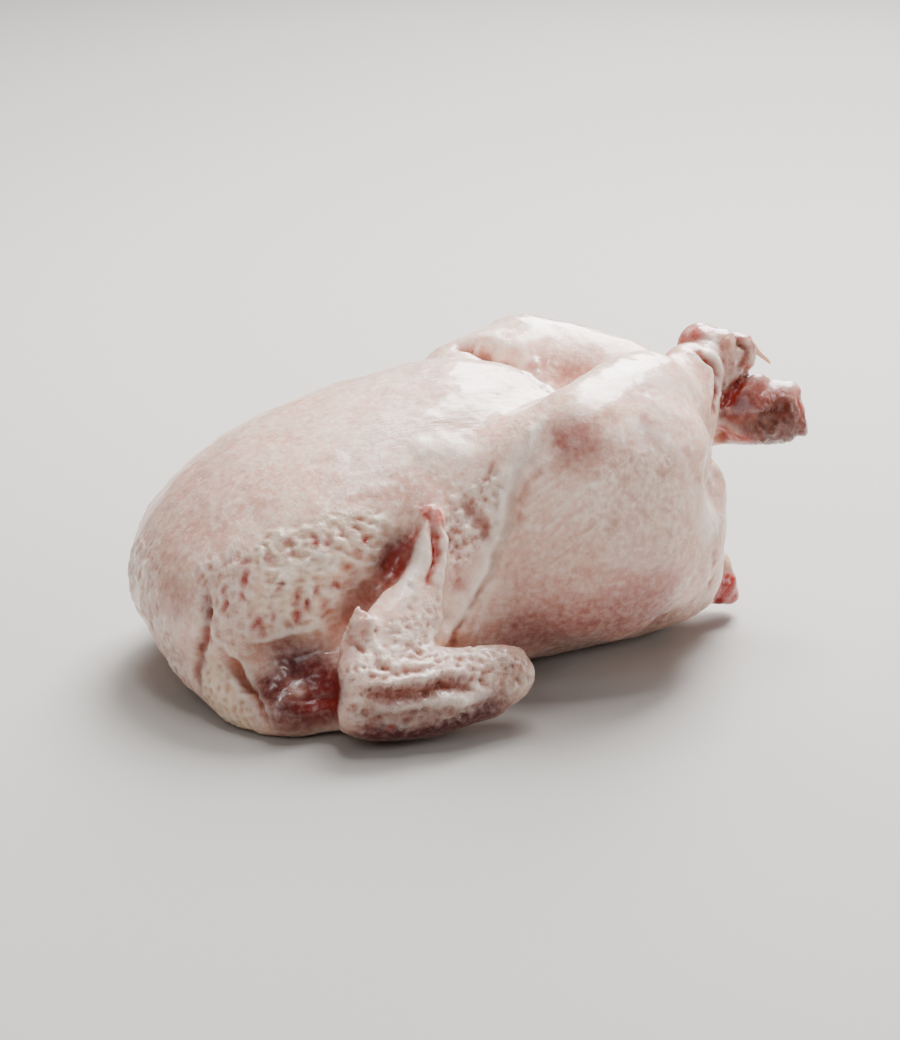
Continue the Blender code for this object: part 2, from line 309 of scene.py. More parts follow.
    def _masked(self, colour: Colour) -> Colour:
        """Lays the mesh's masks over a colour, each a little broken up.

        Args:
            colour: the colour beneath.

        Returns:
            The skin's colour.
        """
        skin, bumpy = self.skin, self.masks[Tint.BUMPY]
        colour = self._lay(colour, self.grain, Stain(0.51, 0.68, bumpy, skin.valley_and_shade))
        colour = self._lay(colour, self.grain, Stain(0.49, 0.34, bumpy, skin.ridge_and_highlight))
        inputs = {"Value": self.grain, "From Min": 0.30, "From Max": 0.70}
        inputs |= {"To Min": 0.75, "To Max": 1.20}
        spread = add_node(self.tree, "ShaderNodeMapRange", None, inputs).outputs["Result"]
        # Several of these masks also lay painted shade in hollows and on undersides, and painted
        # highlights on crests.
        for tint, code in (
            (Tint.CREAM, skin.cream),
            (Tint.FLUSH, skin.mauve),
            (Tint.VALLEY_AND_SHADE, skin.valley_and_shade),
            (Tint.RIDGE_AND_HIGHLIGHT, skin.ridge_and_highlight),
            (Tint.SCALY, skin.scaly),
            (Tint.BRUISE_AND_SHADE, skin.bruise_and_shade),
            (Tint.RAW, skin.raw),
        ):
            inputs = {0: self.masks[tint], 1: spread}
            broken = add_node(self.tree, "ShaderNodeMath", {"operation": "MULTIPLY"}, inputs)
            colour = self._lay(colour, broken.outputs[0], Stain(0.0, 1.0, 1.0, code))
        return colour

    def _roughness(self) -> bpy.types.NodeSocket:
        """How damp the skin looks: patchy, and smoothest where a mask says wet.

        Returns:
            The roughness.
        """
        inputs = {"Vector": self.place, "Scale": 2.0 / (self.skin.patch_mm * MM), "Detail": 3.0}
        damp = add_node(self.tree, "ShaderNodeTexNoise", None, inputs).outputs["Fac"]
        inputs = {0: self.masks[Tint.WET], 1: -self.skin.wet_smoother, 2: self.skin.smoothest}
        least = add_node(self.tree, "ShaderNodeMath", TIMES_PLUS, inputs).outputs[0]
        inputs = {0: damp, 1: self.skin.damp_range, 2: least}
        return add_node(self.tree, "ShaderNodeMath", TIMES_PLUS, inputs).outputs[0]

    def _relief(self) -> bpy.types.NodeSocket:
        """The finest relief: pores, crinkle and fine lines thinner than the mesh can hold.

        Returns:
            The bumped normal.
        """
        skin = self.skin
        inputs = {"Vector": self.place, "Scale": 1.0 / (skin.pore_mm * MM), "Smoothness": 0.7}
        pores = add_node(self.tree, "ShaderNodeTexVoronoi", {"feature": "SMOOTH_F1"}, inputs)
        inputs = {"Vector": self.place, "Scale": 1.0 / (skin.crinkle_mm * MM), "Detail": 3.0}
        crinkle = add_node(self.tree, "ShaderNodeTexNoise", None, inputs)
        height: bpy.types.NodeSocket | float = 0.0
        for relief, (everywhere, on_bumpy) in (
            (pores.outputs["Distance"], skin.pore_heights),
            (self.grain, skin.grain_heights),
            (crinkle.outputs["Fac"], skin.crinkle_heights),
        ):
            inputs = {0: self.masks[Tint.BUMPY], 1: on_bumpy, 2: everywhere}
            much = add_node(self.tree, "ShaderNodeMath", TIMES_PLUS, inputs).outputs[0]
            inputs = {0: relief, 1: much, 2: height}
            height = add_node(self.tree, "ShaderNodeMath", TIMES_PLUS, inputs).outputs[0]
        inputs = {0: self.lines, 1: skin.line_height, 2: height}
        height = add_node(self.tree, "ShaderNodeMath", TIMES_PLUS, inputs).outputs[0]
        bump = {"Strength": 1.0, "Distance": MM, "Height": height}
        return add_node(self.tree, "ShaderNodeBump", None, bump).outputs[0]


@dataclass(frozen=True)
class PhotoCamera:
    """The camera that stands where the picture was taken from.

    Its picture is 900 pixels wide and 1040 high, and its film spans the height.
    """

    azimuth_deg: float = -18.57
    elevation_deg: float = 18.05
    distance_mm: float = 1092.6
    aim_mm: Place = (29.1, 9.65, 47.1)
    lens_mm: float = 100.0
    film_mm: float = 36.0
    picture: tuple[int, int] = (900, 1040)

    def back(self) -> np.ndarray:
        """The unit vector from what it looks at to the camera."""
        a, e = math.radians(self.azimuth_deg), math.radians(self.elevation_deg)
        return np.array([math.sin(a) * math.cos(e), -math.cos(a) * math.cos(e), math.sin(e)])

    def spot(self) -> np.ndarray:
        """Where the camera stands."""
        return np.array(self.aim_mm) + self.back() * self.distance_mm

    def ray(self, pixel: tuple[float, ...]) -> np.ndarray:
        """The direction in which a pixel of the picture looks.

        Args:
            pixel: its place from the picture's upper left corner.

        Returns:
            A unit vector.
        """
        a = math.radians(self.azimuth_deg)
        right = np.array([math.cos(a), math.sin(a), 0.0])
        up = np.cross(self.back(), right)
        scale = self.picture[1] * self.lens_mm / self.film_mm
        across = (pixel[0] - self.picture[0] / 2) / scale
        down = (pixel[1] - self.picture[1] / 2) / scale
        way = -self.back() + right * across - up * down
        return way / np.linalg.norm(way)

    def at_depth(self, pixel: tuple[float, ...], y_mm: float) -> np.ndarray:
        """The place that a pixel shows at a given Y.

        Args:
            pixel: its place in the picture.
            y_mm: the Y of the upright plane that it is looked for on.

        Returns:
            The place, in millimetres.
        """
        way = self.ray(pixel)
        start = self.spot()
        return start + way * (y_mm - start[1]) / way[1]

    def build(self) -> bpy.types.Object:
        """Makes the camera and sets it as the scene's.

        Returns:
            The camera object.
        """
        camera = bpy.data.objects.new("photo_camera", bpy.data.cameras.new("photo_camera"))
        bpy.context.scene.collection.objects.link(camera)
        camera.location = Vector(self.spot()) * MM
        camera.rotation_mode = "QUATERNION"
        camera.rotation_quaternion = Vector(-self.back()).to_track_quat("-Z", "Y")
        camera.data.lens = self.lens_mm
        camera.data.sensor_width = self.film_mm
        camera.data.clip_start = 0.01
        bpy.context.scene.camera = camera
        return camera


@dataclass
class Line:
    """A line on the skin: its points, how the skin faces at each, and how strong it is."""

    points: np.ndarray
    normals: np.ndarray
    strength: np.ndarray


class Neighbours:
    """The edges of a mesh, kept to average values over neighbouring points."""

    def __init__(self, mesh: bpy.types.Mesh) -> None:
        """Reads the edges.

        Args:
            mesh: the mesh that they belong to.
        """
        self.count = len(mesh.vertices)
        pairs = np.empty(len(mesh.edges) * 2, np.int32)
        mesh.edges.foreach_get("vertices", pairs)
        self.first, self.second = pairs.reshape(-1, 2).T
        self.degree = np.bincount(pairs, minlength=self.count).astype(float)

    def mean(self, values: np.ndarray) -> np.ndarray:
        """The mean of each point's neighbours.

        Args:
            values: one value for each point.

        Returns:
            One mean for each point.
        """
        total = np.bincount(self.first, values[self.second], self.count)
        total = total + np.bincount(self.second, values[self.first], self.count)
        return total / self.degree


def read_points(mesh: bpy.types.Mesh, what: str) -> np.ndarray:
    """Reads three numbers a point from a mesh.

    Args:
        mesh: the mesh.
        what: "co" for the places or "normal" for the ways that they face.

    Returns:
        A row for each point.
    """
    flat = np.empty(len(mesh.vertices) * 3, np.float32)
    mesh.vertices.foreach_get(what, flat)
    return flat.reshape(-1, 3).astype(float)


def close_tube(bm: bmesh.types.BMesh, rings: list[list[bmesh.types.BMVert]]) -> None:
    """Joins rings of points to a tube with closed ends.

    Args:
        bm: the mesh that it goes into.
        rings: the rings, each with as many points.
    """
    for near, far in zip(rings, rings[1:]):
        for k in range(len(near)):
            m = (k + 1) % len(near)
            bm.faces.new((near[k], near[m], far[m], far[k]))
    bm.faces.new(rings[0][::-1])
    bm.faces.new(rings[-1])


class Skin:
    """The fine mesh of the skin while it is sculpted: heights along its normals, and masks."""

    # Wider marks than this are spread, and a ray that lands farther off is a stray one.
    broad_mm = 5.0
    stray_mm = 9.0
    # Steps along a route.
    step_px = 3.0
    step_mm = 1.5
    # The width and reach of the drift that makes marks wander.
    drifts = ((8.0, 1.7), (2.8, 0.55))
    # How far from a net cell's border its crest reaches, and from its middle its pit, in cells.
    crest_edge = 0.38
    pit_edges = (0.05, 0.50)
    # The relief that would give a crest or a dip its full colour, and the most that it gets: partly
    # the skin's own colour, partly painted highlight on crests and painted shade in dips.
    crest_shade = (0.7, 0.65)
    dip_shade = (0.8, 0.70)
    digits = 4

    def __init__(self, mesh: bpy.types.Mesh, camera: PhotoCamera) -> None:
        """Reads the mesh.

        Args:
            mesh: the smooth skin before any fine relief, in metres.
            camera: the camera whose pixels place the marks that the picture shows.
        """
        self.mesh = mesh
        self.camera = camera
        self.base = read_points(mesh, "co") / MM
        self.normal = read_points(mesh, "normal")
        self.neighbours = Neighbours(mesh)
        self.height = np.zeros(len(self.base))
        self.masks = {tint: np.zeros(len(self.base)) for tint in Tint}
        polygons = [tuple(p.vertices) for p in mesh.polygons]
        self.tree = BVHTree.FromPolygons([Vector(p) for p in self.base], polygons)
        self.warped = self.base.copy()
        for width, reach in self.drifts:
            drift = [tuple(noise.noise_vector(Vector(p) / width)) for p in self.base]
            self.warped += reach * np.array(drift)
        self.patchy = np.clip(1.0 + 0.9 * self.field(6.0, 1.0, 2), 0.25, 1.6)

    def averaged(self, values: np.ndarray, rounds: int) -> np.ndarray:
        """Spreads values over the mesh by averaging each point with its neighbours.

        Args:
            values: one value for each point.
            rounds: how often it is done.

        Returns:
            The spread values.
        """
        for _ in range(rounds):
            values = 0.5 * values + 0.5 * self.neighbours.mean(values)
        return values

    def field(self, size_mm: float, offset: float, octaves: int = 3) -> np.ndarray:
        """A smooth random field over the skin.

        Args:
            size_mm: the width of its patches.
            offset: a shift that makes each field different.
            octaves: how many finer layers it has.

        Returns:
            One value for each point, about -1 to 1.
        """
        shift = Vector((offset, offset * 0.7, -offset))
        places = (Vector(p) / size_mm + shift for p in self.base)
        return np.array([noise.fractal(place, 0.9, 2.0, octaves) for place in places])

    def line(self, route: Route) -> Line:
        """Lays a route on the skin: pixels as the camera sees them, places on the nearest skin.

        Args:
            route: corners of two numbers, in pixels, or of three, in millimetres.

        Returns:
            The line on the skin, weaker towards its ends.
        """
        step = self.step_px if len(route[0]) == 2 else self.step_mm
        start = Vector(self.camera.spot())
        points, normals, depths = [], [], []
        for a, b in zip(route, route[1:] or route):
            count = max(1, int(math.dist(a, b) / step))
            for i in range(count + 1):
                corner = [p + (q - p) * i / count for p, q in zip(a, b)]
                if len(corner) == 2:
                    way = Vector(self.camera.ray(tuple(corner)))
                    hit, normal, _, _ = self.tree.ray_cast(start, way)
                else:
                    hit, normal, _, _ = self.tree.find_nearest(Vector(corner))
                if hit is not None:
                    points.append(tuple(hit))
                    normals.append(tuple(normal))
                    depths.append((hit - start).length)
        taper = np.ones(len(points))
        if len(points) > 4:
            t = np.linspace(0, 1, len(points))
            taper = np.clip(0.25 + np.minimum(t, 1 - t) * 5.0, 0.0, 1.0)
        around = [np.median(depths[max(0, i - 4) : i + 5]) for i in range(len(depths))]
        kept = np.abs(np.array(depths) - np.array(around)) < self.stray_mm
        places = np.array(points).reshape(-1, 3)[kept]
        return Line(places, np.array(normals).reshape(-1, 3)[kept], taper[kept])

    def near(self, line: Line, radius: float) -> tuple[np.ndarray, np.ndarray]:
        """The points near a line, and how near each is.

        Args:
            line: a line on the skin.
            radius: how far from it a point may be.

        Returns:
            The points' numbers, and for each a weight from 1 on the line to 0 at the radius.
        """
        if len(line.points) == 0:
            return np.empty(0, int), np.empty(0)
        low = line.points.min(0) - radius
        high = line.points.max(0) + radius
        chosen = np.nonzero(np.all((self.warped > low) & (self.warped < high), axis=1))[0]
        best = np.full(len(chosen), np.inf)
        share = np.zeros(len(chosen))
        for point, normal, strength in zip(line.points, line.normals, line.strength):
            away = np.linalg.norm(self.warped[chosen] - point, axis=1)
            nearer = away < best
            best[nearer] = away[nearer]
            facing = self.normal[chosen[nearer]] @ normal
            share[nearer] = strength * np.clip((facing + 0.1) / 0.5, 0.0, 1.0)
        weight = share * np.clip(1.0 - (best / radius) ** 2, 0.0, 1.0) ** 2
        kept = weight > 0
        return chosen[kept], weight[kept]

    def mark(
        self,
        route: Route,
        radius: float,
        height: float = 0.0,
        tint: Tint | None = None,
        strength: float = 0.0,
        mirror: bool = True,
    ) -> None:
        """Raises, sinks or colours the skin along a route.

        Args:
            route: the route, in pixels or in places.
            radius: the mark's half width.
            height: how high its middle stands, or less than 0 for a groove.
            tint: the mask that it goes to.
            strength: the mask's value in the middle.
            mirror: whether the bird's other side gets it too.
        """
        # Narrow marks follow the patches, wide ones hardly.
        uneven = 1.0 + (self.patchy - 1.0) * min(1.0, 3.0 / radius)
        for line in self._sides(route, mirror):
            chosen, near = self.near(line, radius)
            weight = np.zeros(len(self.base))
            weight[chosen] = near
            if radius > self.broad_mm:
                weight = self.averaged(weight, int(radius))
            self.height += height * weight * uneven
            if tint is not None:
                self.tint(tint, strength * weight * (0.6 + 0.4 * uneven))

    def _sides(self, route: Route, mirror: bool) -> list[Line]:
        """The route's line on the skin, and its like on the other side if it is mirrored."""
        line = self.line(route)
        return [line, self._other_side(line)] if mirror and len(line.points) else [line]

    def _other_side(self, line: Line) -> Line:
        """The line's like on the bird's other side.

        Args:
            line: a line on the skin.

        Returns:
            The line there, laid on the nearest skin.
        """
        hits = [self.tree.find_nearest(Vector(p) * Vector((1, -1, 1))) for p in line.points]
        points = np.array([tuple(h[0]) for h in hits])
        normals = np.array([tuple(h[1]) for h in hits])
        return Line(points, normals, line.strength)

    def region(self, routes: Sequence[tuple[Route, float]], mirror: bool = True) -> np.ndarray:
        """How much each point belongs to a region made of broad lines.

        Args:
            routes: each route with its half width.
            mirror: whether the region has its like on the other side.

        Returns:
            A weight for each point.
        """
        total = np.zeros(len(self.base))
        for route, radius in routes:
            for line in self._sides(route, mirror):
                chosen, weight = self.near(line, radius)
                total[chosen] = np.maximum(total[chosen], weight)
        return smooth_step(self.averaged(total, 5), 0.0, 0.45)

    def stretch(self, start: Place, end: Place, radius: float, soft: float = 3.0) -> np.ndarray:
        """How much each point belongs to a length of a limb, all round it.

        Args:
            start: where the length begins, on the limb's middle line.
            end: where it ends.
            radius: how far from the middle line it reaches.
            soft: half the width of its soft border.

        Returns:
            A weight for each point.
        """
        way = np.array(end) - np.array(start)
        length = np.linalg.norm(way)
        way = way / length
        offset = self.warped - np.array(start)
        along = offset @ way
        away = np.linalg.norm(offset - along[:, None] * way, axis=1)
        inside = smooth_step(along, -soft, soft) * smooth_step(length - along, -soft, soft)
        return inside * smooth_step(radius - away, -soft, soft)

    def tint(self, tint: Tint, values: np.ndarray) -> None:
        """Colours the skin by a value for each point, where it isn't stronger already."""
        self.masks[tint] = np.maximum(self.masks[tint], values)

    def pebble(
        self,
        region: np.ndarray,
        cell: Place,
        height: float,
        pit: float,
        stain: float,
        shade: float,
        offset: float,
    ) -> None:
        """Raises the net of small crests that plucked skin has, with a pit in each mesh of the net.

        Args:
            region: a weight for each point.
            cell: the size of the net's meshes along X, Y and Z.
            height: how high the crests stand.
            pit: how deep the pits are.
            stain: how many of the pits are red, as a share.
            shade: how strongly crests and pits are coloured.
            offset: a shift that makes each net different.
        """
        chosen = np.nonzero(region > 0.02)[0]
        shift = np.array((offset, -offset, offset * 0.5))
        first, second, chance = np.empty(len(chosen)), np.empty(len(chosen)), np.empty(len(chosen))
        for i, place in enumerate(self.warped[chosen] / np.array(cell) + shift):
            distances, middles = noise.voronoi(Vector(place))
            first[i], second[i] = distances[0], distances[1]
            chance[i] = math.sin(middles[0].dot(Vector((12.99, 78.23, 37.72)))) * 43758.5453 % 1.0
        crest = 1.0 - smooth_step(second - first, 0.0, self.crest_edge)
        hollow = 1.0 - smooth_step(first, *self.pit_edges)
        weight = region[chosen]
        raised = height * crest * self.patchy[chosen] - pit * hollow * (0.3 + chance)
        self.height[chosen] += weight * raised
        for tint, value in (
            (Tint.RIDGE_AND_HIGHLIGHT, 0.6 * shade * crest * self.patchy[chosen]),
            (Tint.VALLEY_AND_SHADE, 0.85 * shade * hollow * (0.1 + 0.9 * chance)),
            (Tint.RAW, 0.8 * shade * hollow * (chance < stain)),
        ):
            mask = self.masks[tint]
            mask[chosen] = np.maximum(mask[chosen], weight * value)

    def wrinkle(
        self, region: np.ndarray, across: Place, spacing: float, height: float, offset: float
    ) -> None:
        """Raises broken wrinkles that lie side by side.

        Args:
            region: a weight for each point.
            across: the direction in which they follow one another.
            spacing: the distance between them.
            height: their height.
            offset: a shift that makes each set different.
        """
        way = np.array(across, float)
        way /= np.linalg.norm(way)
        phase = (self.warped @ way) / spacing + self.field(spacing * 3.5, offset, 2) * 1.3
        crest = (0.5 + 0.5 * np.cos(2 * math.pi * phase)) ** 1.5
        broken = np.clip(0.5 + 1.2 * self.field(spacing * 2.6, offset + 5.0, 2), 0.0, 1.0)
        self.height += region * height * crest * broken

    def shade_relief(self) -> None:
        """Pales the crests of the relief and deepens the colour of its valleys: partly the skin's
        own colour, partly painted highlight on every crest and painted shade in every dip.
        """
        raised = self.height - self.averaged(self.height, 12)
        full, most = self.crest_shade
        self.tint(Tint.RIDGE_AND_HIGHLIGHT, np.clip(raised / full, 0.0, most))
        full, most = self.dip_shade
        self.tint(Tint.VALLEY_AND_SHADE, np.clip(-raised / full, 0.0, most))

    def write(self) -> None:
        """Moves the mesh's points to their heights and writes the masks."""
        # Rounded, so that each run thins the same points out, whatever the sums' last digits.
        moved = np.round(self.base + self.normal * self.height[:, None], self.digits)
        moved[:, 2] = np.maximum(moved[:, 2], 0.0)
        self.mesh.vertices.foreach_set("co", (moved * MM).astype(np.float32).ravel())
        for tint, mask in self.masks.items():
            attribute = self.mesh.attributes.new(tint.value, "FLOAT", "POINT")
            soft = np.round(np.clip(self.averaged(mask, 1), 0.0, 1.0), self.digits)
            attribute.data.foreach_set("value", soft.astype(np.float32))
        self.mesh.update()


@dataclass
class Flank:
    """The web of skin between breast and leg, its folds, and the pit beside it."""

    edge: Route = ((60, 10, 110), (60.5, 0, 110.5), (59, -15, 109), (57, -25, 108), (54, -35, 107))
    gorge: Route = ((64, 14, 104), (68, 2, 104), (67, -15, 104), (64, -28, 104), (59, -36, 105))
    far_inner: Route = ((552, 384), (544, 364), (560, 374), (590, 358))
    far_gorge: Route = ((64, 14, 104), (62, 24, 102), (58, 33, 103), (51, 42, 105), (43, 52, 104))
    crease_top: Route = ((549, 416), (543, 428), (535, 445), (528, 458), (520, 472))
    crease: Route = (
        (532, 441), (525, 455), (517, 470), (511, 484),
        (511, 505), (508, 528), (497, 560), (484, 586),
        (466, 618), (450, 650),
    )
    web: Route = (
        (541, 424), (530, 446), (519, 463), (508, 480),
        (503, 497), (501, 515), (498, 535), (488, 562),
        (475, 584), (460, 612), (444, 642),
    )
    web_top: Route = ((547, 414), (541, 424), (531, 443), (524, 456))
    slots: Route = (
        (529, 484), (522, 497), (538, 474), (518, 518), (437, 530), (447, 520), (493, 470),
    )
    second_fold: Route = ((513, 545), (503, 570), (488, 600), (474, 632), (464, 650))
    pit: Route = ((463, 500), (471, 511), (481, 523), (484, 534), (479, 542))
    hollow: Route = ((449, 530), (454, 546), (460, 554))
    flush: Route = ((455, 580), (464, 584), (470, 588))
    fold_run: Route = ((500, 480), (482, 505), (462, 530), (452, 565))
    white_bumps: Route = (
        (474, 519), (467, 527), (490, 512), (491, 530), (472, 490), (455, 500), (461, 514),
        (470, 550),
    )

    def sculpt(self, skin: Skin) -> None:
        """Sculpts and colours it.

        Args:
            skin: the skin that is worked on.
        """
        skin.mark(self.gorge, 10.0, -5.0, mirror=False)
        skin.mark(self.gorge, 5.0, -3.5, Tint.FLUSH, 0.6, mirror=False)
        skin.mark(self.far_gorge, 7.0, -4.5, mirror=False)
        skin.mark(self.far_gorge, 3.5, -3.0, Tint.FLUSH, 0.7, mirror=False)
        skin.mark(self.edge, 4.0, 1.8, mirror=False)
        skin.mark(self.far_inner, 10.0, 0.0, Tint.FLUSH, 0.75, False)
        # Painted shade: a brown line along the crease between breast and leg, in its groove.
        skin.mark(self.crease_top, 3.0, -0.7, Tint.VALLEY_AND_SHADE, 0.30)
        skin.mark(self.crease, 7.0, -2.6)
        skin.mark(self.crease, 2.8, -1.7, Tint.VALLEY_AND_SHADE, 0.85)
        # The web's whitish skin, paled further with a painted highlight.
        skin.mark(self.web_top, 3.6, 0.8, Tint.RIDGE_AND_HIGHLIGHT, 0.8)
        skin.mark(self.web, 7.5, 1.2, Tint.RIDGE_AND_HIGHLIGHT, 0.7)
        skin.mark(self.web, 3.2, 1.1, Tint.RIDGE_AND_HIGHLIGHT, 0.95)
        for spot in self.slots:
            skin.mark((spot, (spot[0] - 2, spot[1] + 5)), 3.2, -0.6, Tint.VALLEY_AND_SHADE, 0.65)
        skin.mark(self.second_fold, 1.8, 0.4, Tint.RIDGE_AND_HIGHLIGHT, 0.4)
        skin.mark(self.pit, 4.6, -2.8, Tint.VALLEY_AND_SHADE, 1.0)
        skin.mark(self.pit, 2.6, -0.8, Tint.RAW, 0.45)
        skin.mark(self.hollow, 5.5, -2.0, Tint.VALLEY_AND_SHADE, 0.8)
        skin.mark(self.hollow, 3.0, 0.0, Tint.RAW, 0.35)
        skin.mark(self.flush, 4.5, -0.8, Tint.RAW, 0.5)
        for spot in self.white_bumps:
            skin.mark((spot,), 2.6, 1.3, Tint.RIDGE_AND_HIGHLIGHT, 0.9)
        folds = skin.region(((self.fold_run, 9.0), (self.pit, 9.0)))
        skin.pebble(folds, (4.0, 4.0, 3.2), 0.8, 0.4, 0.06, 0.9, 3.0)
        skin.tint(Tint.BUMPY, 0.8 * folds)


@dataclass
class Breast:
    """The breast: its keel tip, the fine lines near it, and the feather tract on its side."""

    keel_tip: Route = ((526, 362), (532, 363), (537, 369), (541, 381))
    tip_point: Route = ((534, 362), (536, 365))
    highlight_band: Route = ((540, 388), (515, 393), (480, 400), (440, 412), (400, 424), (370, 440))
    low_band: Route = ((480, 455), (445, 450), (410, 455))
    tract: Patch = (
        (((258, 560), (300, 548), (345, 535), (392, 528)), 12.0),
        (((262, 590), (305, 585), (340, 575), (372, 555)), 12.0),
        (((256, 622), (300, 615), (340, 600)), 10.0),
    )
    shoulder: Patch = (
        (((145, 560), (150, 610), (170, 650), (190, 680)), 13.0),
        (((205, 560), (212, 610), (225, 650)), 10.0),
        (((236, 545), (240, 590), (245, 635)), 8.0),
    )
    feather_marks: Route = (
        (270, 559), (294, 555), (243, 578), (241, 598),
        (245, 563), (314, 540), (272, 606), (293, 603),
        (306, 605), (318, 592), (274, 619), (297, 617),
        (325, 615), (337, 586), (325, 542), (341, 536),
        (289, 541), (257, 625), (262, 634), (324, 603),
        (356, 532), (226, 590), (224, 608), (205, 640),
        (148, 612), (153, 632), (295, 592), (280, 586), (365, 540),
    )
    arc: Route = ((250, 643), (266, 640), (285, 633), (300, 628), (318, 626), (330, 632))
    slope: Route = ((230, 470), (300, 420), (400, 380))
    left_run: Route = ((150, 590), (160, 530), (200, 480), (250, 440))
    keel_run: Route = ((500, 370), (440, 385))
    below_keel: Route = ((535, 410), (520, 435), (490, 445))

    def sculpt(self, skin: Skin) -> None:
        """Sculpts and colours it.

        Args:
            skin: the skin that is worked on.
        """
        tract = skin.averaged(skin.region(self.tract), 14)
        skin.pebble(tract, (6.8, 5.0, 3.6), 0.68, 0.22, 0.20, 1.0, 21.0)
        skin.pebble(tract, (3.4, 3.0, 2.6), 0.25, 0.0, 0.0, 0.5, 51.0)
        skin.wrinkle(tract, (0.22, 0.0, 1.0), 4.6, 0.9, 6.0)
        skin.tint(Tint.BUMPY, 0.75 * tract)
        skin.tint(Tint.CREAM, 0.7 * tract)
        shoulder = skin.region(self.shoulder)
        skin.pebble(shoulder, (3.6, 3.6, 6.0), 0.55, 0.25, 0.04, 0.7, 13.0)
        skin.tint(Tint.BUMPY, 0.5 * shoulder)
        skin.tint(Tint.FLUSH, 0.25 * shoulder)
        skin.tint(Tint.CROSSWISE, 0.8 * shoulder)
        for i, (x, y) in enumerate(self.feather_marks):
            lean, long = i * 37 % 5 - 1.0, 2.0 + i * 17 % 4
            wide = 1.7 + 0.3 * (i % 3)
            spot = ((x + lean, y - long), (x, y), (x - 2, y + 2))
            skin.mark(spot, wide, -0.6, Tint.RAW, 0.9)
            skin.mark(((x + lean, y - long), (x + 4, y + 2)), 2.6, -0.3, Tint.VALLEY_AND_SHADE, 0.6)
            skin.mark(((x - 4, y + 2), (x - 4, y + 3)), 1.9, 0.6, Tint.RIDGE_AND_HIGHLIGHT, 0.5)
        skin.mark(self.keel_tip, 4.0, 0.8, Tint.FLUSH, 0.7, mirror=False)
        skin.mark(self.keel_tip, 2.0, 0.4, Tint.RAW, 0.4, mirror=False)
        skin.mark(self.tip_point, 2.2, 1.6, Tint.RIDGE_AND_HIGHLIGHT, 0.8, mirror=False)
        # A painted highlight: a broad band below the keel is paled whitish, and raised a little.
        skin.mark(self.highlight_band, 11.0, 0.8, Tint.RIDGE_AND_HIGHLIGHT, 0.35)
        skin.mark(self.left_run, 45.0, 0.0, Tint.FLUSH, 0.30)
        skin.mark(self.low_band, 9.0, 0.8, Tint.RIDGE_AND_HIGHLIGHT, 0.5)
        skin.mark(self.arc, 2.6, 1.4, Tint.RIDGE_AND_HIGHLIGHT, 0.9)
        near_keel = skin.region(((self.highlight_band, 16.0), (self.keel_run, 14.0)))
        skin.tint(Tint.LENGTHWISE, 0.7 * near_keel)
        below = skin.region(((self.below_keel, 13.0),))
        skin.tint(Tint.CROSSWISE, 0.45 * below)
        skin.tint(Tint.LENGTHWISE, 0.25 * skin.region(((self.slope, 40.0),)))


@dataclass
class Armpit:
    """The hollows between the breast and the wing, darkened with painted shade in mauve and dark
    red.
    """

    below: Route = ((270, 664), (292, 678), (310, 698), (306, 716))
    shaded_hollow: Route = (
        (262, 654), (290, 660), (316, 668), (320, 695), (300, 716), (284, 700), (266, 678),
        (300, 690),
    )
    deepest_shadow: Route = ((322, 668), (326, 690), (318, 712), (300, 722))
    behind_hand: Route = (
        (410, 528), (398, 548), (386, 566), (374, 588), (362, 606), (350, 612), (362, 585),
        (380, 562),
    )
    hand_shadow: Route = ((411, 526), (400, 546), (388, 564), (377, 580))
    hand_edge_shadow: Route = ((414, 520), (406, 540), (396, 558), (384, 582))

    def sculpt(self, skin: Skin) -> None:
        """Sculpts and colours it.

        Args:
            skin: the skin that is worked on.
        """
        skin.mark(self.below, 17.0, -4.8)
        # Painted shade: mauve and dark red over the hollows, darkest on the side by the wing.
        skin.mark(self.shaded_hollow, 19.0, 0.0, Tint.FLUSH, 1.0)
        skin.mark(self.shaded_hollow, 17.0, 0.0, Tint.BRUISE_AND_SHADE, 1.0)
        skin.mark(self.deepest_shadow, 14.0, -2.4, Tint.BRUISE_AND_SHADE, 1.3)
        skin.mark(self.deepest_shadow, 12.0, 0.0, Tint.RAW, 0.35)
        # Painted shade: mauve and dark red in the hollow behind the hand, and a painted shadow
        # along the hand's edge.
        skin.mark(self.behind_hand, 15.0, -2.0, Tint.FLUSH, 0.9)
        skin.mark(self.behind_hand, 9.0, -1.0, Tint.BRUISE_AND_SHADE, 0.30)
        skin.mark(self.hand_shadow, 11.0, 0.0, Tint.BRUISE_AND_SHADE, 0.85)
        skin.mark(self.hand_edge_shadow, 4.0, -1.0, Tint.RAW, 0.45)


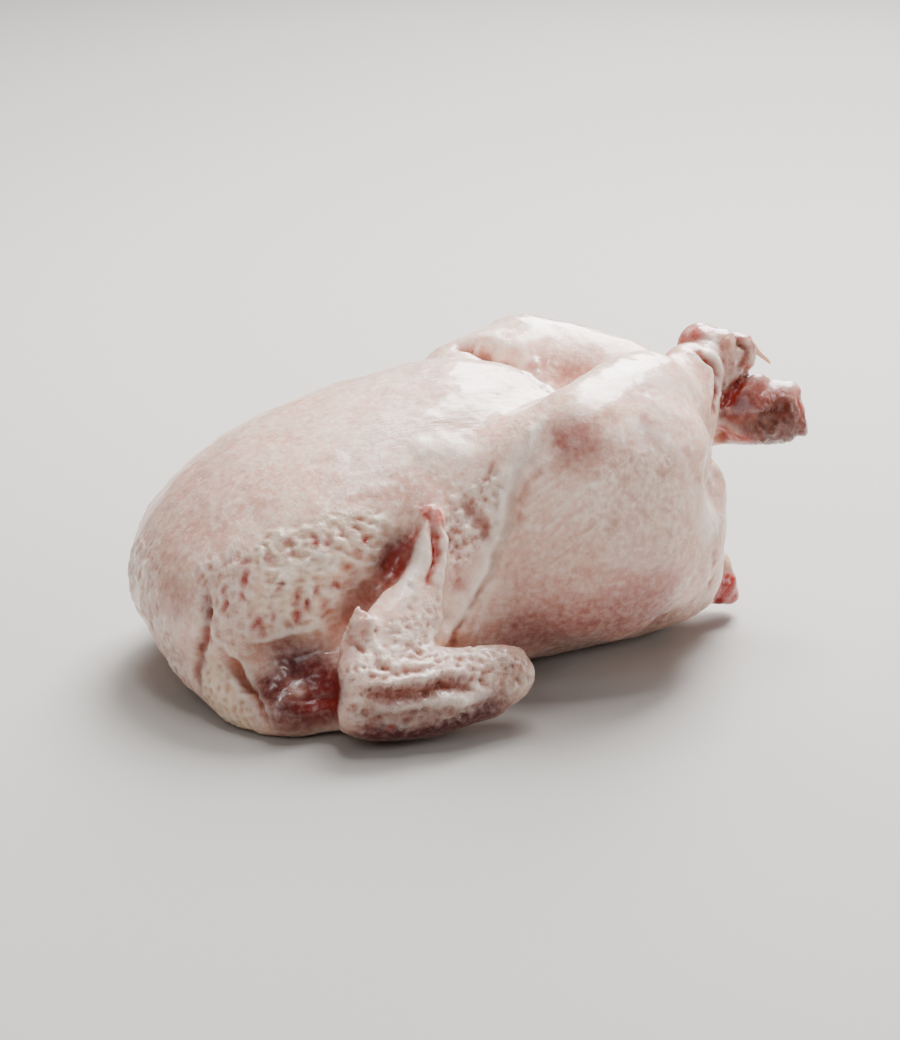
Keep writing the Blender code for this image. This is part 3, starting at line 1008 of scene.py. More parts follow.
@dataclass
class Wing:
    """The folded wing: the hand with its slit, the wrist's creases, the forearm's rows."""

    slit: Route = ((427, 517), (431, 527), (434, 541), (434, 558), (431, 574), (429, 589))
    tip: Route = ((-2, -60, 76), (-1, -62, 75), (0, -64, 73.5))
    tip_edge: Route = ((426, 521), (428, 515), (433, 512), (438, 516), (440, 524))
    trailing: Route = ((441, 520), (443, 545), (441, 575), (440, 600), (437, 620), (430, 645))
    red_spots: Route = ((437, 549), (433, 567), (432, 584), (438, 533))
    finger: Route = ((425, 527), (421, 550), (413, 575), (402, 605))
    hand_pits: Route = (
        (402, 620), (405, 628), (392, 634), (388, 640), (375, 633), (412, 600), (408, 607),
        (411, 590),
    )
    wrist_creases: tuple[Route, ...] = (
        ((343, 638), (352, 645), (366, 653)),
        ((406, 645), (414, 650), (425, 655)),
        ((400, 654), (412, 659), (424, 661)),
        ((376, 662), (392, 672), (412, 672), (426, 668)),
        ((372, 650), (376, 660), (384, 668)),
    )
    row: Route = ((362, 691), (378, 694), (400, 695), (425, 691), (448, 686), (468, 681))
    band: Route = ((376, 708), (398, 706), (425, 703), (455, 700), (482, 696), (500, 690))
    underside_shade: Route = (
        (345, 722), (360, 732), (395, 737), (430, 732), (465, 722), (497, 707), (518, 692),
    )
    low_shade: Route = ((350, 712), (372, 718), (400, 718), (430, 716), (460, 710))
    elbow_folds: Route = ((486, 672), (494, 680), (503, 677), (512, 672), (520, 670))
    skin_patches: Patch = (
        (((350, 665), (380, 675), (425, 672), (475, 665), (515, 668)), 13.0),
        (((350, 710), (400, 715), (460, 705), (510, 690)), 13.0),
    )
    hand_patch: Patch = ((((436, 600), (425, 630), (405, 635), (385, 640)), 9.0),)
    elbow_end: Route = ((505, 658), (518, 664), (524, 675), (519, 690))
    flap: Route = ((358, 618), (357, 632), (352, 644))
    flap_edge: Route = ((371, 621), (370, 632), (373, 645), (382, 660))
    flap_fold: Route = ((362, 616), (365, 626), (364, 636))
    ribs: int = 17
    first_rib_px: tuple[float, float] = (365.0, 697.0)
    rib_step_px: tuple[float, float] = (6.3, -0.9)
    rib_length_px: tuple[float, float] = (4.0, -18.0)

    def sculpt(self, skin: Skin) -> None:
        """Sculpts and colours it.

        Args:
            skin: the skin that is worked on.
        """
        arm = skin.region(self.skin_patches)
        skin.pebble(arm, (3.8, 3.6, 3.2), 0.8, 0.5, 0.06, 1.0, 8.0)
        skin.tint(Tint.BUMPY, 0.8 * arm)
        hand = skin.region(self.hand_patch)
        skin.pebble(hand, (3.0, 3.0, 3.0), 0.55, 0.35, 0.05, 0.8, 5.0)
        skin.tint(Tint.BUMPY, 0.6 * hand)
        skin.mark(self.finger, 6.5, 0.8, Tint.RIDGE_AND_HIGHLIGHT, 0.8)
        skin.mark(self.trailing, 2.6, 1.3, Tint.RIDGE_AND_HIGHLIGHT, 0.5)
        skin.mark(self.slit, 2.4, -2.2, Tint.RAW, 0.95)
        skin.tint(Tint.RAW, 0.75 * skin.region(((self.tip, 4.6), (self.tip_edge, 3.4))))
        for spot in self.red_spots:
            skin.mark((spot,), 2.6, -0.4, Tint.RAW, 0.95)
        for spot in self.hand_pits:
            skin.mark((spot,), 2.2, -0.7, Tint.VALLEY_AND_SHADE, 0.9)
        for crease in self.wrist_creases:
            skin.mark(crease, 2.2, -1.5, Tint.VALLEY_AND_SHADE, 0.8)
            skin.mark(crease, 1.6, 0.0, Tint.RAW, 0.35)
        row = skin.region(((self.row, 4.6),))
        skin.masks[Tint.RIDGE_AND_HIGHLIGHT] *= 1.0 - 0.8 * row
        skin.mark(self.row, 4.8, -2.2, Tint.VALLEY_AND_SHADE, 1.0)
        skin.tint(Tint.SCALY, 0.55 * row)
        skin.tint(Tint.RAW, 0.22 * row)
        skin.tint(Tint.CROSSWISE, skin.region(((self.row, 8.0), (self.elbow_end, 12.0))))
        for i in range(self.ribs):
            foot = tuple(p + i * step for p, step in zip(self.first_rib_px, self.rib_step_px))
            head = tuple(p + long for p, long in zip(foot, self.rib_length_px))
            skin.mark((head, foot), 1.5, 1.5, Tint.RIDGE_AND_HIGHLIGHT, 0.6)
        skin.mark(self.band, 3.6, 1.8, Tint.RIDGE_AND_HIGHLIGHT, 0.95)
        # Painted shade: brown, mauve and dark red along the underside of the forearm.
        skin.mark(self.low_shade, 7.0, -0.6, Tint.VALLEY_AND_SHADE, 0.9)
        skin.mark(self.low_shade, 9.0, 0.0, Tint.BRUISE_AND_SHADE, 0.7)
        skin.mark(self.underside_shade, 15.0, 0.0, Tint.FLUSH, 1.0)
        skin.mark(self.underside_shade, 14.0, 0.0, Tint.BRUISE_AND_SHADE, 1.0)
        skin.mark(self.flap, 7.0, 0.8, Tint.FLUSH, 0.6)
        skin.mark(self.flap, 5.0, 0.0, Tint.RAW, 0.32)
        loose = skin.region(((self.flap, 8.0),))
        skin.pebble(loose, (3.4, 3.0, 3.0), 0.8, 0.4, 0.15, 0.8, 77.0)
        skin.tint(Tint.BUMPY, 0.6 * loose)
        skin.mark(self.flap_edge, 2.0, 0.6, Tint.RIDGE_AND_HIGHLIGHT, 0.9)
        skin.mark(self.flap_fold, 2.4, -0.8, Tint.VALLEY_AND_SHADE, 0.8)
        elbow = skin.region(((self.elbow_end, 11.0),))
        skin.pebble(elbow, (3.2, 3.6, 4.2), 0.7, 0.35, 0.0, 0.7, 61.0)
        skin.tint(Tint.BUMPY, 0.35 * elbow)
        skin.tint(Tint.CREAM, 0.5 * elbow)
        for x, y in self.elbow_folds:
            skin.mark(((x + 4, y - 10), (x, y), (x - 3, y + 18)), 2.2, -1.5, Tint.VALLEY_AND_SHADE, 1.0)


@dataclass
class Neck:
    """The neck skin, creamy and bumpy and folded under, with the creases that run down to it."""

    edge: Route = ((226, 655), (234, 668), (243, 682), (252, 698), (260, 714), (270, 730))
    inner: Route = ((232, 660), (242, 680), (251, 690))
    mauve_run: Route = ((205, 585), (206, 615), (203, 640), (199, 660), (196, 676), (200, 694))
    rim: Route = ((140, 628), (156, 645), (168, 668), (184, 690))
    red_run: Route = ((148, 600), (150, 612), (153, 632), (160, 650))
    roll: Route = ((206, 672), (216, 692), (232, 710), (250, 727))
    front: Route = ((170, 570), (175, 600), (180, 625))
    left_edge: Route = ((133, 575), (134, 600), (140, 620))

    def sculpt(self, skin: Skin) -> None:
        """Sculpts and colours it.

        Args:
            skin: the skin that is worked on.
        """
        loose = skin.region(((self.roll, 12.0),))
        skin.pebble(loose, (3.2, 3.2, 3.2), 0.8, 0.2, 0.0, 0.7, 15.0)
        skin.tint(Tint.BUMPY, 0.55 * loose)
        skin.tint(Tint.CREAM, 0.85 * loose)
        skin.mark(self.edge, 8.0, 0.0, Tint.FLUSH, 0.7)
        skin.mark(self.edge, 3.0, -2.4, Tint.VALLEY_AND_SHADE, 0.55)
        skin.mark(self.inner, 2.0, -1.2, Tint.VALLEY_AND_SHADE, 0.8)
        skin.mark(self.mauve_run, 4.5, -1.5, Tint.FLUSH, 0.95)
        skin.mark(self.mauve_run, 2.4, -0.8, Tint.BRUISE_AND_SHADE, 0.5)
        skin.mark(self.rim, 3.4, -1.8, Tint.VALLEY_AND_SHADE, 0.9, mirror=False)
        skin.mark(self.red_run, 3.4, -1.0, Tint.RAW, 0.45)
        skin.mark(self.front, 15.0, 0.0, Tint.FLUSH, 0.55)
        skin.mark(self.left_edge, 7.0, 0.0, Tint.CREAM, 0.6)


@dataclass
class Legs:
    """The legs: tight and glossy over the knee, bumpy and creamy outside the thigh."""

    rear_notch: Route = ((100, -66, 76), (105, -58, 76), (108, -48, 76), (108, -36, 78))
    rear_crease: Route = (
        (92, -71, 78), (98, -69, 79), (104, -60, 80), (107, -50, 80), (106, -38, 82),
    )
    cuff_edge: Route = (
        (604, 454), (612, 436), (630, 426), (650, 430), (672, 446), (686, 468), (692, 500),
        (691, 530),
    )
    bumpy: Patch = (
        (((605, 470), (640, 468), (672, 475)), 12.0),
        (((585, 505), (630, 505), (680, 505)), 13.0),
        (((600, 545), (650, 548), (685, 545)), 12.0),
    )
    spots: Route = (
        (613, 463), (630, 463), (622, 475), (640, 476),
        (660, 470), (666, 466), (596, 474), (611, 519),
        (645, 512), (668, 532), (655, 541), (640, 537), (611, 531),
    )
    blush: Route = ((556, 452), (566, 444), (580, 436), (590, 425))
    brown_blush: Route = ((598, 414), (608, 412), (614, 420))
    red_blush: Route = ((640, 420), (648, 424), (656, 431))
    red_veins: Route = ((556, 444), (566, 452), (578, 447), (583, 430))
    yellow_line: Route = ((650, 524), (662, 525), (676, 524))
    knee_highlight: Route = ((610, 372), (640, 372), (672, 380))
    lined_run: Route = ((520, 560), (560, 520), (600, 490))
    low_shade: Route = ((475, 650), (520, 635), (570, 622), (620, 610), (665, 592), (694, 572))
    lowest_shade: Route = ((475, 660), (520, 652), (570, 645), (620, 636), (665, 618), (692, 596))

    def sculpt(self, skin: Skin) -> None:
        """Sculpts and colours it.

        Args:
            skin: the skin that is worked on.
        """
        skin.mark(self.rear_notch, 15.0, -4.6)
        skin.mark(self.rear_crease, 3.5, -0.7, Tint.VALLEY_AND_SHADE, 0.15)
        skin.mark(self.cuff_edge, 4.0, 0.35, Tint.RIDGE_AND_HIGHLIGHT, 0.35)
        outer = skin.averaged(skin.region(self.bumpy), 30)
        outer *= np.clip(0.75 + 0.5 * skin.field(12.0, 27.0, 2), 0.0, 1.0)
        skin.pebble(outer, (3.8, 3.8, 3.4), 0.34, 0.10, 0.0, 0.45, 34.0)
        skin.tint(Tint.BUMPY, 0.75 * outer)
        skin.tint(Tint.RIDGE_AND_HIGHLIGHT, 0.3 * outer)
        for spot in self.spots:
            skin.mark((spot, (spot[0] + 3, spot[1] + 4)), 2.6, -0.25, Tint.VALLEY_AND_SHADE, 0.8)
        for x, y in self.red_veins:
            skin.mark(((x, y), (x + 8, y - 5)), 7.0, 0.0, Tint.RAW, 0.18)
        skin.mark(self.blush, 17.0, 0.0, Tint.FLUSH, 0.85)
        skin.mark(self.brown_blush, 6.0, 0.0, Tint.VALLEY_AND_SHADE, 0.6)
        skin.mark(self.red_blush, 4.5, 0.0, Tint.FLUSH, 0.9)
        skin.mark(self.yellow_line, 1.4, 0.5, Tint.CREAM, 1.0)
        # A painted highlight: the top of the knee is paled whitish, and slightly raised.
        skin.mark(self.knee_highlight, 11.0, 0.4, Tint.RIDGE_AND_HIGHLIGHT, 0.6)
        lined = skin.region(((self.lined_run, 20.0),))
        skin.tint(Tint.SLANTWISE, lined)
        skin.wrinkle(lined, (-0.55, 0.0, 0.83), 3.4, 0.28, 9.0)
        skin.tint(Tint.WET, skin.region(((self.knee_highlight, 16.0),)))
        # Painted shade: mauve and dark red over the underside of the thigh.
        skin.mark(self.low_shade, 50.0, 0.0, Tint.FLUSH, 0.7)
        skin.mark(self.low_shade, 32.0, 0.0, Tint.FLUSH, 0.9)
        skin.mark(self.lowest_shade, 30.0, 0.0, Tint.BRUISE_AND_SHADE, 0.5)
        skin.tint(Tint.LENGTHWISE, 0.6 * skin.region(((self.low_shade, 20.0),)))


@dataclass
class Hocks:
    """The bare hock joints: the torn rim of skin, the knuckles, the scaly stub and its cut end."""

    rim: Route = (
        (680, 348), (692, 352), (704, 360), (711, 370), (712, 381), (711, 394), (710, 407),
    )
    gap: Route = (
        (690, 348), (702, 354), (713, 363), (719, 373), (718, 385), (716, 398), (712, 410),
    )
    strands: tuple[Route, ...] = (((722, 370), (724, 384), (718, 398)), ((716, 380), (719, 392)))
    knob_start: Place = (121.0, -4.0, 100.0)
    knob_end: Place = (146.0, 14.0, 104.0)
    knob_radius: float = 19.0
    stub_start: Place = (136.0, 2.0, 81.5)
    scales_start: Place = (146.0, -4.0, 82.5)
    stub_end: Place = (160.0, -12.3, 84.0)
    face_end: Place = (172.0, -20.0, 85.5)
    stub_radius: float = 16.0
    scales_top: float = 85.0
    left_lump: Route = ((693, 340), (699, 332), (708, 329))
    sheath: Route = ((713, 330), (709, 342), (712, 354), (720, 366), (724, 378))
    peach: Route = ((724, 344), (730, 347))
    furrow: Route = ((729, 329), (738, 338), (745, 350), (744, 364), (738, 374))
    pink_right: Route = ((745, 331), (750, 338), (753, 346))
    knob_low: Route = ((731, 362), (736, 370), (733, 380))
    crevice: Route = ((713, 412), (722, 402), (730, 393), (738, 386), (745, 379))
    dark_top: Route = ((726, 404), (738, 402), (748, 406), (752, 416))
    bright_top: Route = ((758, 377), (772, 380), (788, 384), (797, 390))
    low_red: Route = ((714, 428), (726, 434), (738, 440), (752, 441))
    fascia: Route = ((714, 418), (722, 423), (736, 428), (744, 432))
    scaly_run: Route = (
        (740, 434), (765, 424), (785, 418), (798, 420),
        (790, 434), (765, 438), (780, 405), (792, 404),
    )
    red_spots: Route = (
        (691, 345), (697, 338), (703, 345), (688, 354), (699, 351), (733, 334), (742, 337),
    )
    hump: Route = ((756, 380), (764, 378))
    waist: Route = ((708, 437), (718, 440), (726, 442))
    low_corner: Route = ((801, 428), (804, 430))
    high_corner: Route = ((796, 389), (799, 392))
    scale_row: Route = ((756, 414), (763, 411), (770, 408), (777, 406), (784, 404), (790, 405))
    cut_edge: Route = ((787, 392), (793, 400), (798, 412), (803, 428))
    cut_face: Route = ((797, 388), (801, 400), (803, 415), (806, 425))

    def sculpt(self, skin: Skin) -> None:
        """Sculpts and colours it.

        Args:
            skin: the skin that is worked on.
        """
        around = skin.stretch(self.knob_start, self.knob_end, self.knob_radius)
        skin.tint(Tint.FLUSH, 0.50 * around)
        skin.tint(Tint.RAW, 0.55 * around * smooth_step(skin.field(9.0, 71.0, 2), -0.1, 0.5))
        skin.tint(Tint.RIDGE_AND_HIGHLIGHT, 0.5 * around * smooth_step(skin.field(8.0, 83.0, 2), -0.05, 0.4))
        skin.tint(Tint.BUMPY, 0.35 * around)
        skin.tint(Tint.SLANTWISE, 0.8 * around)
        skin.tint(Tint.WET, 0.5 * around)
        skin.mark(self.rim, 2.0, 0.7, Tint.RIDGE_AND_HIGHLIGHT, 0.8, False)
        skin.mark(self.gap, 2.8, -2.0, Tint.SCALY, 0.75, False)
        skin.mark(self.gap, 2.6, 0.0, Tint.RAW, 0.7, False)
        for strand in self.strands:
            skin.mark(strand, 1.5, 0.9, Tint.RIDGE_AND_HIGHLIGHT, 0.9, False)
        skin.mark(self.left_lump, 7.0, 1.2, Tint.RAW, 0.8, False)
        for spot in self.red_spots:
            skin.mark((spot,), 2.6, 0.3, Tint.RAW, 0.8, False)
        skin.mark(self.sheath, 5.0, 1.2, Tint.RIDGE_AND_HIGHLIGHT, 1.0, False)
        skin.mark(self.peach, 4.0, 0.6, Tint.CREAM, 0.8, False)
        skin.mark(self.furrow, 2.4, -1.5, Tint.SCALY, 0.7, False)
        skin.mark(self.pink_right, 3.6, 0.6, Tint.RAW, 0.6, False)
        skin.mark(self.knob_low, 5.0, 0.0, Tint.FLUSH, 0.9, False)
        stub = skin.stretch(self.stub_start, self.stub_end, self.stub_radius)
        skin.tint(Tint.FLUSH, stub)
        skin.tint(Tint.RAW, 0.15 * stub)
        skin.tint(Tint.BRUISE_AND_SHADE, 0.40 * stub)
        skin.tint(Tint.WET, 0.5 * stub)
        hidden = skin.stretch(self.scales_start, self.stub_end, self.stub_radius)
        hidden *= smooth_step(self.scales_top - skin.base[:, 2], -6.0, 6.0)
        skin.tint(Tint.SCALY, hidden * np.clip(0.5 + 0.5 * skin.patchy, 0.0, 1.0))
        skin.wrinkle(hidden, (0.84, -0.50, 0.10), 3.2, 0.8, 44.0)
        face = skin.stretch(self.stub_end, self.face_end, self.stub_radius)
        skin.tint(Tint.RAW, 0.8 * face)
        skin.tint(Tint.RIDGE_AND_HIGHLIGHT, 0.7 * face * smooth_step(skin.field(7.0, 92.0, 2), 0.0, 0.4))
        # Dark red in the crevice between the knuckle and the stub: partly raw flesh, partly painted
        # shade.
        skin.mark(self.crevice, 3.6, -1.8, Tint.RAW, 0.9, False)
        skin.mark(self.crevice, 2.8, 0.0, Tint.BRUISE_AND_SHADE, 1.0, False)
        skin.mark(self.dark_top, 12.0, -0.8, Tint.BRUISE_AND_SHADE, 1.0, False)
        skin.mark(self.hump, 6.0, 1.8, mirror=False)
        skin.mark(self.waist, 8.0, -4.0, mirror=False)
        skin.mark(self.bright_top, 4.5, 0.5, Tint.RIDGE_AND_HIGHLIGHT, 0.75, False)
        skin.mark(self.fascia, 2.0, 0.8, Tint.RIDGE_AND_HIGHLIGHT, 1.0, False)
        scaly = skin.averaged(skin.region(((self.scaly_run, 8.5),), False), 25)
        skin.tint(Tint.SCALY, scaly * np.clip(0.45 + 0.6 * skin.patchy, 0.0, 1.0))
        skin.tint(Tint.CROSSWISE, scaly)
        skin.wrinkle(scaly, (0.84, -0.50, 0.25), 3.1, 0.9, 44.0)
        for tint in (Tint.RAW, Tint.BRUISE_AND_SHADE):
            skin.masks[tint] *= 1.0 - 0.65 * np.maximum(scaly, hidden)
        for x, y in self.scale_row:
            skin.mark(((x, y), (x + 4, y + 16), (x + 4, y + 30)), 1.4, 0.5, Tint.CREAM, 0.45, False)
        skin.mark(self.low_red, 7.0, 0.0, Tint.RAW, 0.8, False)
        skin.mark(self.low_corner, 4.5, 2.6, Tint.CREAM, 0.6, False)
        skin.mark(self.high_corner, 4.5, 1.8, Tint.RAW, 0.5, False)
        skin.mark(self.cut_edge, 1.9, 0.9, Tint.CREAM, 1.0, False)
        skin.mark(self.cut_face, 4.5, -0.8, Tint.RAW, 0.85, False)


@dataclass
class Rear:
    """The rounded belly by the tail, paled with a painted highlight, and the bloody stub of the
    tail.
    """

    bulge_highlight: Route = ((702, 505), (710, 520), (714, 540))
    tail_edge: Route = ((713, 549), (714, 565), (712, 577), (705, 594))
    stump_start: Place = (127.0, 0.0, 13.0)
    stump_end: Place = (150.0, 0.0, 13.0)
    stump_radius: float = 17.0
    bloody_below: float = 18.0
    darkest_below: float = 7.0
    vent: Route = ((131, 0, 34), (131, 0, 44), (130, 0, 52))

    def sculpt(self, skin: Skin) -> None:
        """Sculpts and colours it.

        Args:
            skin: the skin that is worked on.
        """
        # A painted highlight: the rounded belly by the tail is paled whitish, and raised a little.
        skin.mark(self.bulge_highlight, 11.0, 1.0, Tint.RIDGE_AND_HIGHLIGHT, 0.75)
        skin.mark(self.tail_edge, 3.0, -1.0, Tint.FLUSH, 0.4)
        stump = skin.stretch(self.stump_start, self.stump_end, self.stump_radius)
        height = skin.warped[:, 2] + 3.0 * skin.field(6.0, 33.0, 2)
        skin.tint(Tint.RAW, 1.3 * stump * smooth_step(self.bloody_below - height, -5.0, 3.0))
        skin.tint(Tint.BRUISE_AND_SHADE, 0.5 * stump * smooth_step(self.darkest_below - height, -3.0, 3.0))
        skin.tint(Tint.CREAM, 0.45 * stump * smooth_step(height - self.bloody_below, 0.0, 5.0))
        skin.mark(self.vent, 3.0, -2.0, Tint.RAW, 0.5, False)


@dataclass(frozen=True)
class Lump:
    """A rounded form that is joined to the skin before it is made fine."""

    pixel: tuple[float, float]
    depth_mm: float
    radii: Place
    lean_deg: float = 0.0
    both_sides: bool = False


@dataclass
class WholeBird:
    """The bird's skin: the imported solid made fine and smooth, then sculpted and coloured."""

    camera: PhotoCamera
    voxel_mm: float = 1.0
    smoothing_rounds: int = 20
    smooth_in: float = 0.60
    smooth_out: float = 0.57
    swell_mm: tuple[float, float] = (0.5, 18.0)
    ripple_mm: tuple[float, float] = (0.22, 5.5)
    most_triangles: int = 190_000
    lumps: tuple[Lump, ...] = (
        Lump((705, 347), 3.0, (8.0, 7.0, 8.2)),
        Lump((722, 344), 1.0, (6.0, 7.0, 6.2)),
        Lump((741, 352), 1.0, (6.0, 6.5, 8.2), -18.0),
        Lump((728, 369), -1.0, (5.5, 6.0, 6.5)),
        Lump((755, 404), -6.0, (12.0, 8.0, 10.0)),
        Lump((716, 583), 0.0, (8.4, 10.0, 8.6)),
        Lump((720, 564), 0.0, (4.4, 6.0, 7.0), -20.0),
        Lump((726, 592), 0.0, (5.0, 7.0, 5.2)),
        Lump((792, 408), -12.5, (4.0, 6.5, 10.2), -14.0),
        Lump((795, 425), -12.5, (3.4, 5.0, 3.0)),
        Lump((433, 515.5), -60.5, (3.2, 2.6, 3.6), 0.0, True),
        Lump((405, 638), -71.0, (18.0, 6.5, 6.5), 0.0, True),
    )
    thumb_px: Route = (
        (357, 670), (356, 654), (358, 642), (361, 632), (362, 625), (363, 619), (361, 615),
        (358.5, 611), (357.5, 606),
    )
    thumb_widths_mm: tuple[float, ...] = (6.8, 6.8, 6.2, 5.2, 4.7, 4.0, 2.8, 1.2, 0.6)
    thumb_depths_mm: tuple[float, ...] = (
        -79.5, -80.5, -81.5, -82.3, -82.6, -82.8, -82.8, -82.8, -82.8,
    )
    thumb_thickness_mm: float = 5.0

    def build(self) -> bpy.types.Object:
        """Makes the bird.

        Returns:
            The finished piece.
        """
        mesh = self._fine_mesh()
        skin = Skin(mesh, self.camera)
        for part in (Flank(), Breast(), Armpit(), Wing(), Neck(), Legs(), Hocks(), Rear()):
            part.sculpt(skin)
        (swell, swell_size), (ripple, ripple_size) = self.swell_mm, self.ripple_mm
        skin.height += swell * skin.field(swell_size, 2.0) + ripple * skin.field(ripple_size, 7.0)
        # Pales every crest and darkens every dip: partly the skin's own colour, partly painted
        # highlight and painted shade.
        skin.shade_relief()
        skin.tint(Tint.BUMPY, 0.14 + 0.10 * np.clip(skin.field(24.0, 40.0), 0.0, 1.0))
        skin.write()
        bird = bpy.data.objects.new("chicken_skin", mesh)
        bpy.context.scene.collection.objects.link(bird)
        mesh = self._thinned(bird)
        mesh.materials.clear()
        mesh.materials.append(SkinPaint(RawSkin()).finish())
        mesh.shade_smooth()
        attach(bird, "root")
        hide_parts(SOLID)
        LOG.info("%s: %d points, %d faces", bird.name, len(mesh.vertices), len(mesh.polygons))
        return bird

    def _fine_mesh(self) -> bpy.types.Mesh:
        """Copies the solid, joins the small forms, makes the mesh fine and even, and smooths it.

        Returns:
            The smooth fine mesh.
        """
        bm = bmesh.new()
        bm.from_mesh(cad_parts[SOLID].data)
        for lump in self.lumps:
            self._add_lump(bm, lump)
        self._add_thumb(bm)
        rough = bpy.data.objects.new("rough_skin", bpy.data.meshes.new("rough_skin"))
        bm.to_mesh(rough.data)
        bm.free()
        bpy.context.scene.collection.objects.link(rough)
        remesh = rough.modifiers.new("even_mesh", "REMESH")
        remesh.mode = "VOXEL"
        remesh.voxel_size = self.voxel_mm * MM
        graph = bpy.context.evaluated_depsgraph_get()
        mesh = bpy.data.meshes.new_from_object(rough.evaluated_get(graph))
        bpy.data.objects.remove(rough)
        mesh.name = "chicken_skin"
        self._smooth(mesh)
        return mesh

    def _thinned(self, bird: bpy.types.Object) -> bpy.types.Mesh:
        """Takes points out of the sculpted skin where it is smooth, to keep the piece light.

        Args:
            bird: the object that carries the skin.

        Returns:
            The lighter mesh, which the object carries from then on.
        """
        thinner = bird.modifiers.new("thinned", "DECIMATE")
        thinner.ratio = min(1.0, self.most_triangles / (2 * len(bird.data.polygons)))
        graph = bpy.context.evaluated_depsgraph_get()
        mesh = bpy.data.meshes.new_from_object(bird.evaluated_get(graph))
        for vert in mesh.vertices:
            vert.co.z = max(vert.co.z, 0.0)
        bird.modifiers.remove(thinner)
        bird.data = mesh
        return mesh

    def _add_lump(self, bm: bmesh.types.BMesh, lump: Lump) -> None:
        """Adds a rounded form.

        Args:
            bm: the mesh that it goes into.
            lump: the form.
        """
        middle = Vector(self.camera.at_depth(lump.pixel, lump.depth_mm))
        lean = math.radians(lump.lean_deg)
        cos, sin = math.cos(lean), math.sin(lean)
        for flip in (1.0, -1.0) if lump.both_sides else (1.0,):
            ball = bmesh.ops.create_icosphere(bm, subdivisions=3, radius=1.0)
            for vert in ball["verts"]:
                x, y, z = (c * r for c, r in zip(vert.co, lump.radii))
                turned = Vector((x * cos + z * sin, y, z * cos - x * sin))
                vert.co = (middle * Vector((1.0, flip, 1.0)) + turned) * MM

    def _add_thumb(self, bm: bmesh.types.BMesh) -> None:
        """Adds the pointed flap of skin at each wrist.

        Args:
            bm: the mesh that they go into.
        """
        sides = 14
        for flip in (1.0, -1.0):
            rings = []
            sizes = zip(self.thumb_px, self.thumb_widths_mm, self.thumb_depths_mm)
            for pixel, width, depth in sizes:
                x, y, z = self.camera.at_depth(pixel, depth)
                deep = min(self.thumb_thickness_mm, width * 0.75)
                ring = []
                for k in range(sides):
                    angle = 2 * math.pi * k / sides
                    out = (math.cos(angle) * width, math.sin(angle) * deep)
                    spot = ((x + out[0]) * MM, (y + out[1]) * flip * MM, z * MM)
                    ring.append(bm.verts.new(spot))
                rings.append(ring if flip > 0 else ring[::-1])
            close_tube(bm, rings)

    def _smooth(self, mesh: bpy.types.Mesh) -> None:
        """Smooths facets without shrinking the thin parts: each round in is followed by one out.

        Args:
            mesh: the mesh to smooth.
        """
        place = read_points(mesh, "co")
        neighbours = Neighbours(mesh)
        for _ in range(self.smoothing_rounds):
            for share in (self.smooth_in, -self.smooth_out):
                for k in range(3):
                    column = place[:, k]
                    place[:, k] = column + share * (neighbours.mean(column) - column)
        place[:, 2] = np.maximum(place[:, 2], 0.0)
        mesh.vertices.foreach_set("co", place.astype(np.float32).ravel())
        mesh.update()


@dataclass
class TendonStrip:
    """The thin strip of tendon that stands off the right hock."""

    camera: PhotoCamera
    route_px: Route = ((748, 342), (754, 347), (758, 353), (765, 358), (771, 364))
    depth_mm: float = 0.0
    widths_mm: tuple[float, ...] = (1.8, 1.5, 1.0, 0.9, 0.5)
    sides: int = 10

    def build(self) -> bpy.types.Object:
        """Makes the strip.

        Returns:
            The finished piece.
        """
        route = [self.camera.at_depth(p, self.depth_mm) for p in self.route_px]
        bm = bmesh.new()
        rings = []
        for i, (place, width) in enumerate(zip(route, self.widths_mm)):
            ahead = route[min(i + 1, len(route) - 1)] - route[max(i - 1, 0)]
            along = Vector(ahead).normalized()
            side = along.cross(Vector((0, 1, 0))).normalized()
            deep = side.cross(along)
            ring = []
            for k in range(self.sides):
                angle = 2 * math.pi * k / self.sides
                offset = side * math.cos(angle) * width + deep * math.sin(angle) * width * 0.5
                ring.append(bm.verts.new((Vector(place) + offset) * MM))
            rings.append(ring)
        close_tube(bm, rings)
        bmesh.ops.recalc_face_normals(bm, faces=bm.faces)
        mesh = bpy.data.meshes.new("tendon_strip")
        bm.to_mesh(mesh)
        bm.free()
        strip = bpy.data.objects.new("tendon_strip", mesh)
        bpy.context.scene.collection.objects.link(strip)
        smooth = strip.modifiers.new("rounded", "SUBSURF")
        smooth.levels = 2
        smooth.render_levels = 2
        mesh.shade_smooth()
        cream = np.full(len(mesh.vertices), 0.75, np.float32)
        mesh.attributes.new(Tint.CREAM.value, "FLOAT", "POINT").data.foreach_set("value", cream)
        mesh.materials.append(bpy.data.materials["raw_chicken_skin"])
        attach(strip, "root")
        LOG.info("%s: %d points", strip.name, len(mesh.vertices))
        return strip


@dataclass(frozen=True)
class SoftLight:
    """A square lamp that looks at the bird: its place and side in metres, and its power."""

    name: str
    spot: Place
    watts: float
    side: float


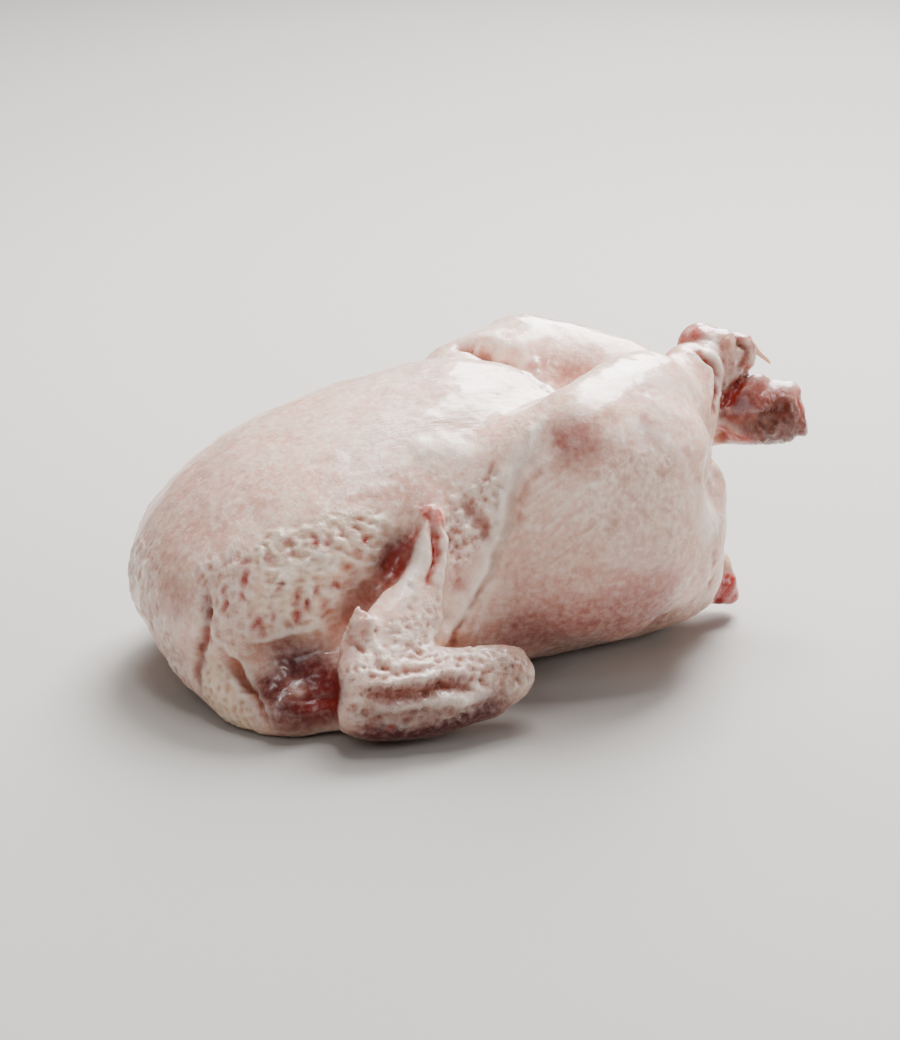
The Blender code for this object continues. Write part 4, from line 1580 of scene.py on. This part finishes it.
@dataclass
class Studio:
    """A pale floor and soft studio light."""

    floor_size: float = 16.0
    floor_colour: str = "#B4B0AB"
    sun_strength: float = 1.6
    sun_spread_deg: float = 35.0
    air_strength: float = 0.12
    air_colour: str = "#F1F1F3"
    lights: tuple[SoftLight, ...] = (
        SoftLight("key_light", (0.45, 0.45, 1.05), 38.0, 0.60),
        SoftLight("front_light", (-0.75, -0.95, 0.95), 5.0, 0.70),
        SoftLight("back_light", (0.93, 1.48, 1.05), 52.0, 0.90),
        SoftLight("side_light", (1.15, -0.55, 0.50), 5.0, 0.45),
        SoftLight("glint_light", (-0.10, -0.30, 1.20), 1.6, 0.12),
    )

    def build(self) -> None:
        """Makes the floor, the lights and the world."""
        self._floor()
        for light in self.lights:
            self._area(light)
        self._sun("sky_light", (0.10, 0.05, 1.0))
        world = bpy.data.worlds.new("studio_air")
        bpy.context.scene.world = world
        world.use_nodes = True
        air = world.node_tree.nodes["Background"]
        air.inputs["Color"].default_value = srgb(self.air_colour)
        air.inputs["Strength"].default_value = self.air_strength

    def _floor(self) -> None:
        """The plain floor that the bird lies on."""
        bm = bmesh.new()
        bmesh.ops.create_grid(bm, x_segments=1, y_segments=1, size=self.floor_size / 2)
        mesh = bpy.data.meshes.new("studio_floor")
        bm.to_mesh(mesh)
        bm.free()
        floor = bpy.data.objects.new("studio_floor", mesh)
        floor.location.z = -0.0002
        bpy.context.scene.collection.objects.link(floor)
        material = bpy.data.materials.new("matt_paper")
        material.use_nodes = True
        shader = material.node_tree.nodes["Principled BSDF"]
        shader.inputs["Base Color"].default_value = srgb(self.floor_colour)
        shader.inputs["Roughness"].default_value = 0.9
        mesh.materials.append(material)

    def _sun(self, name: str, way: Place) -> None:
        """Adds a wide soft light from far away, which lights the floor evenly.

        Args:
            name: the light's name.
            way: the direction that it comes from.
        """
        data = bpy.data.lights.new(name, "SUN")
        data.energy = self.sun_strength
        data.angle = math.radians(self.sun_spread_deg)
        light = bpy.data.objects.new(name, data)
        light.rotation_mode = "QUATERNION"
        light.rotation_quaternion = Vector(way).to_track_quat("Z", "Y")
        bpy.context.scene.collection.objects.link(light)

    def _area(self, lamp: SoftLight) -> None:
        """Adds a soft square light that looks at the bird.

        Args:
            lamp: the light's name, place, power and size.
        """
        data = bpy.data.lights.new(lamp.name, "AREA")
        data.energy = lamp.watts
        data.size = lamp.side
        light = bpy.data.objects.new(lamp.name, data)
        light.location = lamp.spot
        light.rotation_mode = "QUATERNION"
        light.rotation_quaternion = Vector(lamp.spot).to_track_quat("Z", "Y")
        bpy.context.scene.collection.objects.link(light)


def main() -> None:
    """Builds the camera, the bird, its tendon strip and the studio."""
    logging.basicConfig(level=logging.INFO, format="%(name)s: %(message)s")
    camera = PhotoCamera()
    camera.build()
    for part in (WholeBird(camera), TendonStrip(camera)):
        piece = part.build()
        LOG.info("built %s", piece.name)
    Studio().build()


if __name__ == "__main__":
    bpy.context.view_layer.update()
    main()
